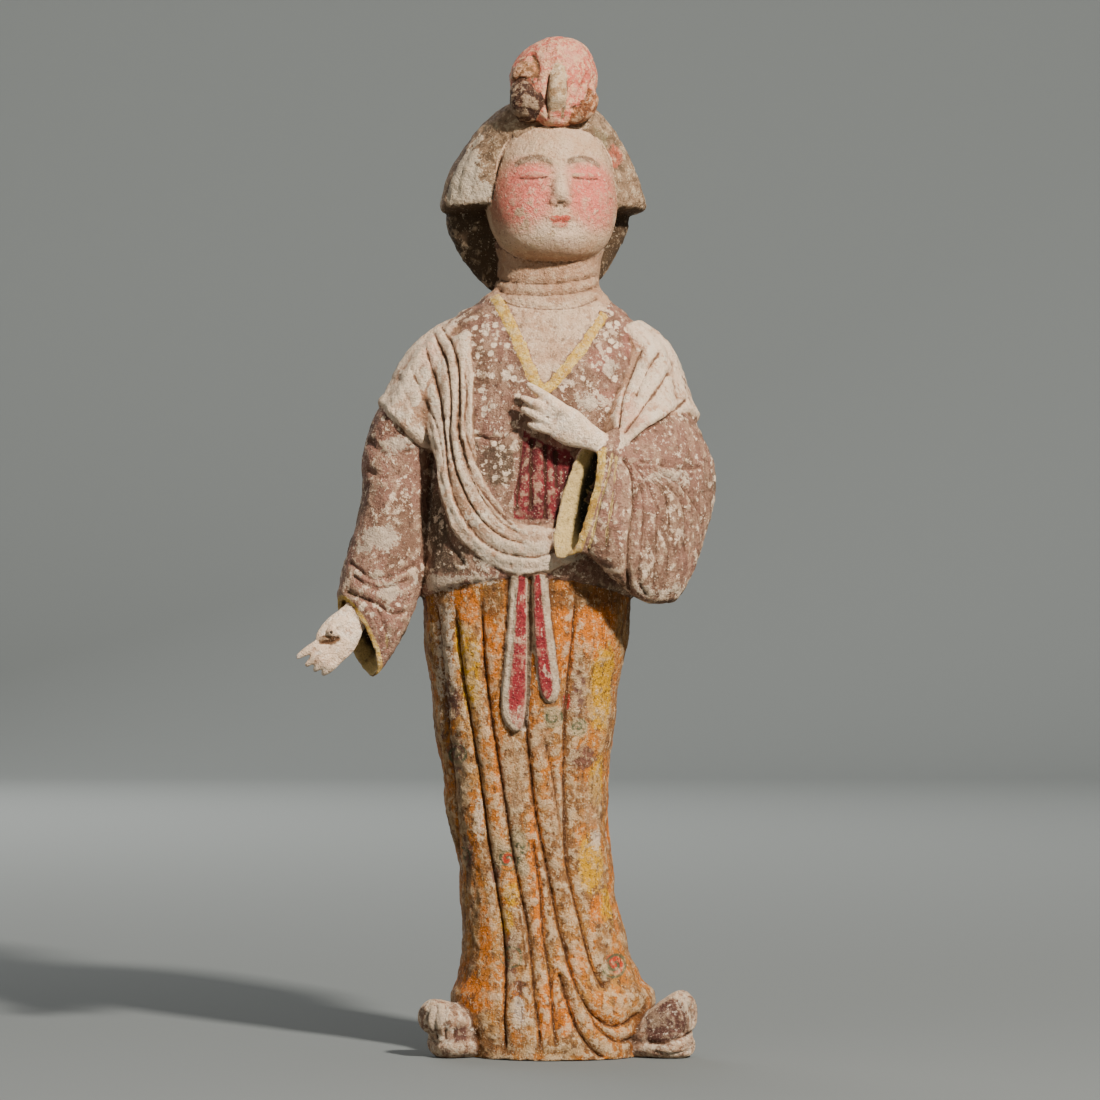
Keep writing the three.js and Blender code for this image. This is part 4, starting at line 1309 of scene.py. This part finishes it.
def curl_lines():
    """A mask of thin spiral strokes round the places in CURLS."""
    pixel = PHOTO_SHARE * SHARE
    strokes = 0.0
    for x, y, radius, pitch, hand in CURLS:
        reach, off_x, off_z = seen_reach(x, y)
        wobble = both(g.math("SUBTRACT", small, 0.5), 3.0 * pixel)
        turns = g.math("DIVIDE", g.math("ADD", reach, wobble), pitch * pixel)
        swing = both(g.math("ARCTAN2", off_z, off_x), hand / (2 * math.pi))
        phase = g.math("FRACT", g.math("ADD", g.math("ADD", turns, swing), 4.0))
        from_line = g.math("ABSOLUTE", g.math("SUBTRACT", phase, 0.5))
        stroke = both(g.step(from_line, 0.26, 0.17), g.step(reach, radius * pixel, (radius - 1.5) * pixel))
        strokes = g.math("MAXIMUM", strokes, stroke)
    return both(strokes, g.step(g.field("turned"), 0.6, 0.3))


hollow = g.field("hollow")
dip = g.field("dip")
curls = curl_lines()
# A dark dot at the end of the broken thumb's peg: painted shade standing for its hole.
PEG_HOLE = (334.5, 631)
PEG_HOLE_EDGE = (0.0011, 0.0007)  # it darkens between these distances from its middle
painted_hole_shade = g.step(seen_reach(*PEG_HOLE)[0], *PEG_HOLE_EDGE)

# Jacket and sleeves: red-brown, scuffed, with round cream spots where it was splashed.
spot_distance, spot_colour = g.cells(5.2, 0.4)
spot_edge = g.total((fine, 0.5), (grain, 0.3))
spot_round = g.step(g.math("ADD", spot_distance, spot_edge), 0.36, 0.28)
spot_chosen = both(spot_round, g.step(spot_colour, 0.30, 0.36))
jacket = mottled(
    (126, 94, 76),
    (above(broad, 0.5, 0.1), (144, 104, 88)),
    (above(middle, 0.54), (104, 78, 60), 0.7),
    (above(streaks, 0.53), (170, 136, 112), 0.6),
    (below(other, 0.40, 0.03), (84, 58, 46), 0.6),
    (edged("pink", 16, 4.0), (156, 100, 88), 0.55),
    # Dark olive paint, with painted shade beside the lowered arm and under the hem.
    (edged("olive", 14, 3.0), (66, 58, 42), 0.65),
    (above(g.total((middle, 1.1), (small, 0.9), (fine, 0.4)), 0.14, 0.015), (206, 178, 152), 0.85),
    (above(g.total((other, 1.0), (small, 0.7)), 0.12, 0.015), (230, 204, 176), 0.9),
    (both(spot_chosen, g.step(g.field("spots"), -6, 2)), (232, 206, 178), 0.95),
)

# Shawl: pale slip gone beige, pinkish in places, with painted brown shade in the folds and a painted
# highlight on the ridges.
shawl = mottled(
    (214, 180, 150),
    (above(broad, 0.5, 0.12), (226, 198, 170)),
    (above(middle, 0.55), (168, 122, 92), 0.7),
    (above(streaks, 0.57), (174, 132, 104), 0.45),
    (edged("tan", 18, 4.0), (156, 118, 90), 0.6),
    (edged("pink", 14, 5.0), (212, 150, 124), 0.5),
    (above(g.total((middle, 0.8), (small, 1.0)), 0.08, 0.02), (228, 208, 182), 0.75),
    # Painted shade in the folds, then a painted highlight on the ridges.
    (g.step(dip, -0.1, 0.9), (146, 106, 80), 0.8),
    (both(g.step(dip, -0.2, -1.1), above(small, 0.48)), (230, 210, 184), 0.6),
)

# Skirt: orange and ochre over pale slip, worn to grey in places, with a painted highlight on the ridges and
# painted brown shade in the grooves.
worn_through = g.total((flow, 1.0), (small, 0.7), (fine, 0.3))
skirt = mottled(
    (160, 110, 64),
    (above(broad, 0.5, 0.06), (176, 126, 74)),
    (above(middle, 0.53, 0.04), (142, 98, 64), 0.7),
    (above(flow, 0.53, 0.02), (188, 114, 58), 0.75),
    (below(flow, 0.45, 0.02), (126, 88, 58), 0.75),
    (edged("orange", 14, 2.0), (200, 116, 58), 0.9),
    (edged("yellow", 16, 2.0), (198, 146, 48), 0.9),
    (edged("worn", 16, 2.5), (158, 128, 98), 0.6),
    # Umber: brown paint, with painted shade under the jacket's hem and the sleeve and along the skirt's
    # edges and foot.
    (edged("umber", 16, 5.0), (100, 70, 42), 0.75),
    (edged("maroon", 18, 1.5), (102, 70, 62), 0.85),
    (edged("green", 6, 2.0), (152, 140, 108), 0.75),
    (edged("red", 4, 1.0), (176, 60, 54), 0.85),
    (edged("white", 18, 1.0), (206, 188, 168), 0.7),
    (above(worn_through, 0.17, 0.015), (190, 156, 116), 0.45),
    (above(g.total((hairs, 1.0), (fine, 0.5)), 0.14, 0.02), (216, 186, 144), 0.6),
    (below(g.total((hairs, 1.0), (fine, 0.6)), -0.08, 0.02), (88, 58, 36), 0.75),
    (above(other, 0.65, 0.03), (220, 190, 150), 0.6),
    (below(other, 0.38, 0.03), (90, 60, 38), 0.7),
    (both(curls, below(fine, 0.6)), (80, 82, 56), 0.9),
    # A painted highlight on the ridges, then painted shade in the grooves.
    (both(g.step(dip, -0.2, -1.2), above(small, 0.5)), (206, 174, 132), 0.5),
    (g.step(dip, 0.4, 2.2), (112, 66, 32), 0.8),
)

# Bare skin of neck and chest, the face, the hands.
flesh = mottled(
    (196, 158, 128),
    (above(middle, 0.5, 0.1), (212, 180, 150)),
    (above(other, 0.58, 0.03), (232, 206, 178), 0.6),
    (below(small, 0.42), (150, 114, 88), 0.6),
    # Painted shade on the throat under the jaw.
    (edged("throat_shade", 18, 8.0), (158, 118, 90), 0.6),
)
face = mottled(
    (196, 158, 126),
    (above(middle, 0.5, 0.12), (210, 178, 148)),
    (edged("blush", 12, 9.0), (220, 118, 106), 0.9),
    (edged("fair", 8, 7.0), (222, 192, 164), 0.6),
    (edged("brow", 2.5, 1.2, at=-0.8), (104, 80, 62), 0.85),
    (edged("lash", 1.0, 0.5), (82, 52, 42), 0.85),
    (edged("lips", 2.0, 0.8, at=0.3), (180, 70, 62), 0.85),
    # Earth with painted shade under the chin and at the face's sides.
    (edged("earth_and_shade", 24, 14.0), (160, 122, 94), 0.7),
    (above(other, 0.6, 0.04), (224, 192, 160), 0.5),
    (above(g.total((small, 1.0), (middle, 0.9)), 0.17, 0.02), (170, 142, 110), 0.75),
    (below(fine, 0.38, 0.05), (146, 100, 78), 0.6),
    (above(fine, 0.63, 0.04), (232, 204, 176), 0.5),
)
hand = mottled(
    (240, 206, 174),
    (above(middle, 0.5, 0.1), (246, 220, 192)),
    (below(small, 0.42), (172, 132, 106), 0.6),
    (above(other, 0.56), (248, 230, 208), 0.6),
    (edged("broken", 3.0, 0.8), (112, 80, 56)),
    # Painted shade of the peg's hole.
    (painted_hole_shade, (60, 46, 34)),
)

# Hair and topknot.
hair = mottled(
    (136, 108, 84),
    (above(broad, 0.5, 0.1), (152, 124, 98)),
    (above(middle, 0.54), (108, 84, 62), 0.7),
    (above(g.total((small, 1.0), (other, 0.8)), 0.1, 0.02), (192, 168, 138), 0.75),
    (edged("crust", 34, 4.0), (192, 178, 154), 0.55),
    (edged("moss", 18, 4.0), (110, 110, 78), 0.35),
    (edged("pink", 12, 2.0), (180, 96, 78), 0.7),
    (below(small, 0.42), (70, 52, 36), 0.6),
    # Painted shade, with some earth, under the hair's wings.
    (edged("under", 3.0, 3.0), (74, 56, 38)),
)
knot = mottled(
    (200, 112, 96),
    (above(middle, 0.52, 0.06), (212, 146, 124)),
    (above(other, 0.52, 0.04), (222, 176, 140), 0.8),
    (below(small, 0.42), (156, 78, 60), 0.6),
)
coil = mottled(
    (148, 104, 72),
    (above(small, 0.52, 0.05), (196, 134, 104)),
    (below(small, 0.44), (98, 68, 46), 0.7),
)
ball = mottled(
    (74, 46, 32),
    (above(other, 0.6, 0.03), (144, 98, 76), 0.4),
    (below(small, 0.44), (48, 30, 20), 0.7),
)
roll = mottled(
    (128, 78, 50),
    (above(other, 0.54, 0.05), (178, 122, 88)),
    (below(small, 0.44), (82, 50, 32), 0.7),
)
ridge = mottled(
    (190, 158, 122),
    (above(other, 0.52, 0.06), (214, 190, 158)),
    (below(small, 0.44), (142, 106, 74), 0.7),
)

# Trim, lining and shoes.
collar = mottled(
    (202, 160, 84),
    (above(other, 0.52, 0.06), (220, 188, 120)),
    (below(small, 0.43), (176, 132, 80), 0.7),
    (above(fine, 0.62, 0.04), (206, 178, 142), 0.7),
)
panel = mottled(
    (92, 38, 38),
    (above(streaks, 0.5, 0.06), (122, 50, 52)),
    (above(g.total((small, 1.0), (middle, 0.8)), 0.13, 0.02), (124, 92, 76), 0.7),
    (above(other, 0.62, 0.03), (170, 118, 104), 0.5),
    # Painted shade in the panel's folds.
    (g.step(dip, 0.1, 1.0), (56, 22, 20), 0.7),
)
sash_red = mottled(
    (150, 60, 62),
    (above(g.total((hairs, 1.0), (small, 0.8)), 0.13, 0.02), (196, 166, 144), 0.85),
    (below(small, 0.43), (112, 40, 42), 0.6),
)
sash = mottled(
    (176, 150, 124),
    (above(small, 0.5), (198, 178, 152)),
    (edged("sash_core", 5.0, 0.8, at=0.2), sash_red),
)
# The lining darkens deeper inside the sleeve: painted shade.
lining = mottled((206, 176, 120), (g.step(g.field("depth_in"), 9, 18), (50, 46, 28)))
shoe = mottled(
    (162, 126, 100),
    (above(middle, 0.5, 0.08), (182, 150, 124)),
    (above(other, 0.53, 0.05), (214, 194, 168), 0.8),
    (below(small, 0.45), (104, 72, 54), 0.7),
    # Painted shade in the shoes' dips and in their outlined hollows.
    (g.step(dip, 0.2, 1.4), (84, 56, 40), 0.8),
    (edged("shaded_shoe_hollow", 5.0, 1.5), (88, 54, 46), 0.9),
    (above(other, 0.62, 0.03), (226, 206, 182), 0.9),
)

colour = mottled(
    jacket,
    (edged("panel", 5, 0.9), panel),
    (edged("chest", 3.0, 0.9), flesh),
    (edged("rim", 1.6, 0.6), collar),
    (edged("far_lip", 2.0, 0.8), shawl),
    (zone("skirt"), skirt),
    (zone("shawl"), shawl),
    (zone("collar", 0.15), collar),
    (zone("sash"), sash),
    (zone("hair"), hair),
    (zone("knot"), knot),
    (zone("coil"), coil),
    (zone("ball"), ball),
    (zone("roll"), roll),
    (zone("ridge"), ridge),
    (zone("skull"), face),
    (zone("hand"), hand),
    (zone("shoe"), shoe),
    (zone("lining", 0.08), lining),
    (edged("crust", 30, 1.5), (200, 180, 156), 0.7),
    # Painted shade in creases and hollows, then a painted highlight on sharp edges.
    (g.step(hollow, 0.25, 1.1), (74, 48, 30), 0.7),
    (both(g.step(hollow, -0.2, -0.7), above(small, 0.5)), (204, 176, 144), 0.45),
    (below(grain, 0.37, 0.03), (74, 50, 34), 0.5),
    (above(grain, 0.64, 0.03), (236, 214, 184), 0.5),
    (below(grit, 0.3, 0.05), (58, 40, 28), 0.45),
)
SATURATION = 1.08
GLOSS = 0.3
TOOTH_DEPTH = 0.0016
tone = g.add("ShaderNodeHueSaturation")
tone.inputs["Saturation"].default_value = SATURATION
g.feed(tone.inputs["Color"], colour)

g.feed(g.shader.inputs["Base Color"], tone.outputs[0])
g.feed(g.shader.inputs["Roughness"], g.step(small, 0.3, 0.7, 0.74, 0.95))
g.shader.inputs["Specular IOR Level"].default_value = GLOSS
tooth = g.total((small, 1.2), (fine, 1.0), (grain, 0.6), (grit, 0.25))
bump = g.add("ShaderNodeBump")
bump.inputs["Strength"].default_value = 1.0
bump.inputs["Distance"].default_value = TOOTH_DEPTH
g.feed(bump.inputs["Height"], tooth)
g.feed(g.shader.inputs["Normal"], bump.outputs[0])
mesh.materials.clear()
mesh.materials.append(g.material)

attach(lady, "root")
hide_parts(NODE)


# Studio: a pale sweep, a key light from the upper right, soft fill, top and back lights, and the camera.


STAGE_DEPTH, STAGE_RISE, STAGE_RADIUS, STAGE_HALF = 3.0, 4.2, 0.8, 5.0
FLOOR_GAP = 0.0002
# The paper darkens towards the front and pales towards the back: a painted falloff of light.
PAPER_NEAR, PAPER_FAR = (102, 105, 102), (164, 168, 165)


def make_stage():
    profile = [(-STAGE_HALF, 0.0), (STAGE_DEPTH, 0.0)]
    profile += [
        (STAGE_DEPTH + STAGE_RADIUS * math.sin(a), STAGE_RADIUS - STAGE_RADIUS * math.cos(a))
        for a in np.linspace(0, math.pi / 2, 16)[1:]
    ]
    profile.append((STAGE_DEPTH + STAGE_RADIUS, STAGE_RISE))
    points = [(x, y, z - FLOOR_GAP) for x in (-STAGE_HALF, STAGE_HALF) for y, z in profile]
    count = len(profile)
    faces = [(k, k + 1, count + k + 1, count + k) for k in range(count - 1)]
    sweep = bpy.data.meshes.new("sweep")
    sweep.from_pydata(points, [], faces)
    backdrop = bpy.data.objects.new("sweep", sweep)
    bpy.context.scene.collection.objects.link(backdrop)
    for polygon in sweep.polygons:
        polygon.use_smooth = True
    paper = Graph("pale_paper")
    far = paper.add("ShaderNodeSeparateXYZ")
    paper.feed(far.inputs[0], paper.place)
    tone = paper.mix(paper.step(far.outputs["Y"], 0.0, 2.6), srgb(*PAPER_NEAR), srgb(*PAPER_FAR))
    paper.feed(paper.shader.inputs["Base Color"], tone)
    paper.shader.inputs["Roughness"].default_value = 0.95
    sweep.materials.append(paper.material)


def make_light(name, place, aim, size, power, colour=(1, 1, 1)):
    data = bpy.data.lights.new(name, "AREA")
    data.size = size
    data.energy = power
    data.color = colour
    light = bpy.data.objects.new(name, data)
    light.location = place
    light.rotation_euler = (Vector(aim) - Vector(place)).to_track_quat("-Z", "Y").to_euler()
    bpy.context.scene.collection.objects.link(light)


make_stage()
MIDDLE = (0, 0, 0.26)  # the lights look at her waist
make_light("key", (1.2, -1.85, 1.75), MIDDLE, 0.2, 176, (1.0, 0.965, 0.92))
make_light("fill", (-1.7, -2.0, 1.0), MIDDLE, 1.6, 10, (0.95, 0.98, 1.0))
make_light("top", (0.1, 0.3, 2.1), MIDDLE, 1.2, 8)
make_light("back", (-1.3, 2.3, 1.5), MIDDLE, 1.8, 34)
ROOM_TINT, ROOM_STRENGTH = (0.9, 0.95, 1.0, 1.0), 0.15
world = bpy.data.worlds.new("studio")
world.use_nodes = True
room = world.node_tree.nodes["Background"]
room.inputs["Color"].default_value = ROOM_TINT
room.inputs["Strength"].default_value = ROOM_STRENGTH
bpy.context.scene.world = world

# The photograph's whole frame covers this much at the figure.
PHOTO_WIDTH = 1100
FRAME_WIDTH = PHOTO_WIDTH * PHOTO_SHARE * SHARE
FRAME_CENTRE = PHOTO_WIDTH / 2
CAMERA_DISTANCE = 2.5
SENSOR_WIDTH = 36
camera_data = bpy.data.cameras.new("camera")
camera_data.sensor_width = SENSOR_WIDTH
camera_data.lens = SENSOR_WIDTH * CAMERA_DISTANCE / FRAME_WIDTH
camera = bpy.data.objects.new("camera", camera_data)
camera.location = (
    (FRAME_CENTRE - PHOTO_AXIS) * PHOTO_SHARE * SHARE,
    -CAMERA_DISTANCE,
    (PHOTO_GROUND - FRAME_CENTRE) * PHOTO_SHARE * SHARE,
)
camera.rotation_euler = (math.pi / 2, 0, 0)
bpy.context.scene.collection.objects.link(camera)
bpy.context.scene.camera = camera
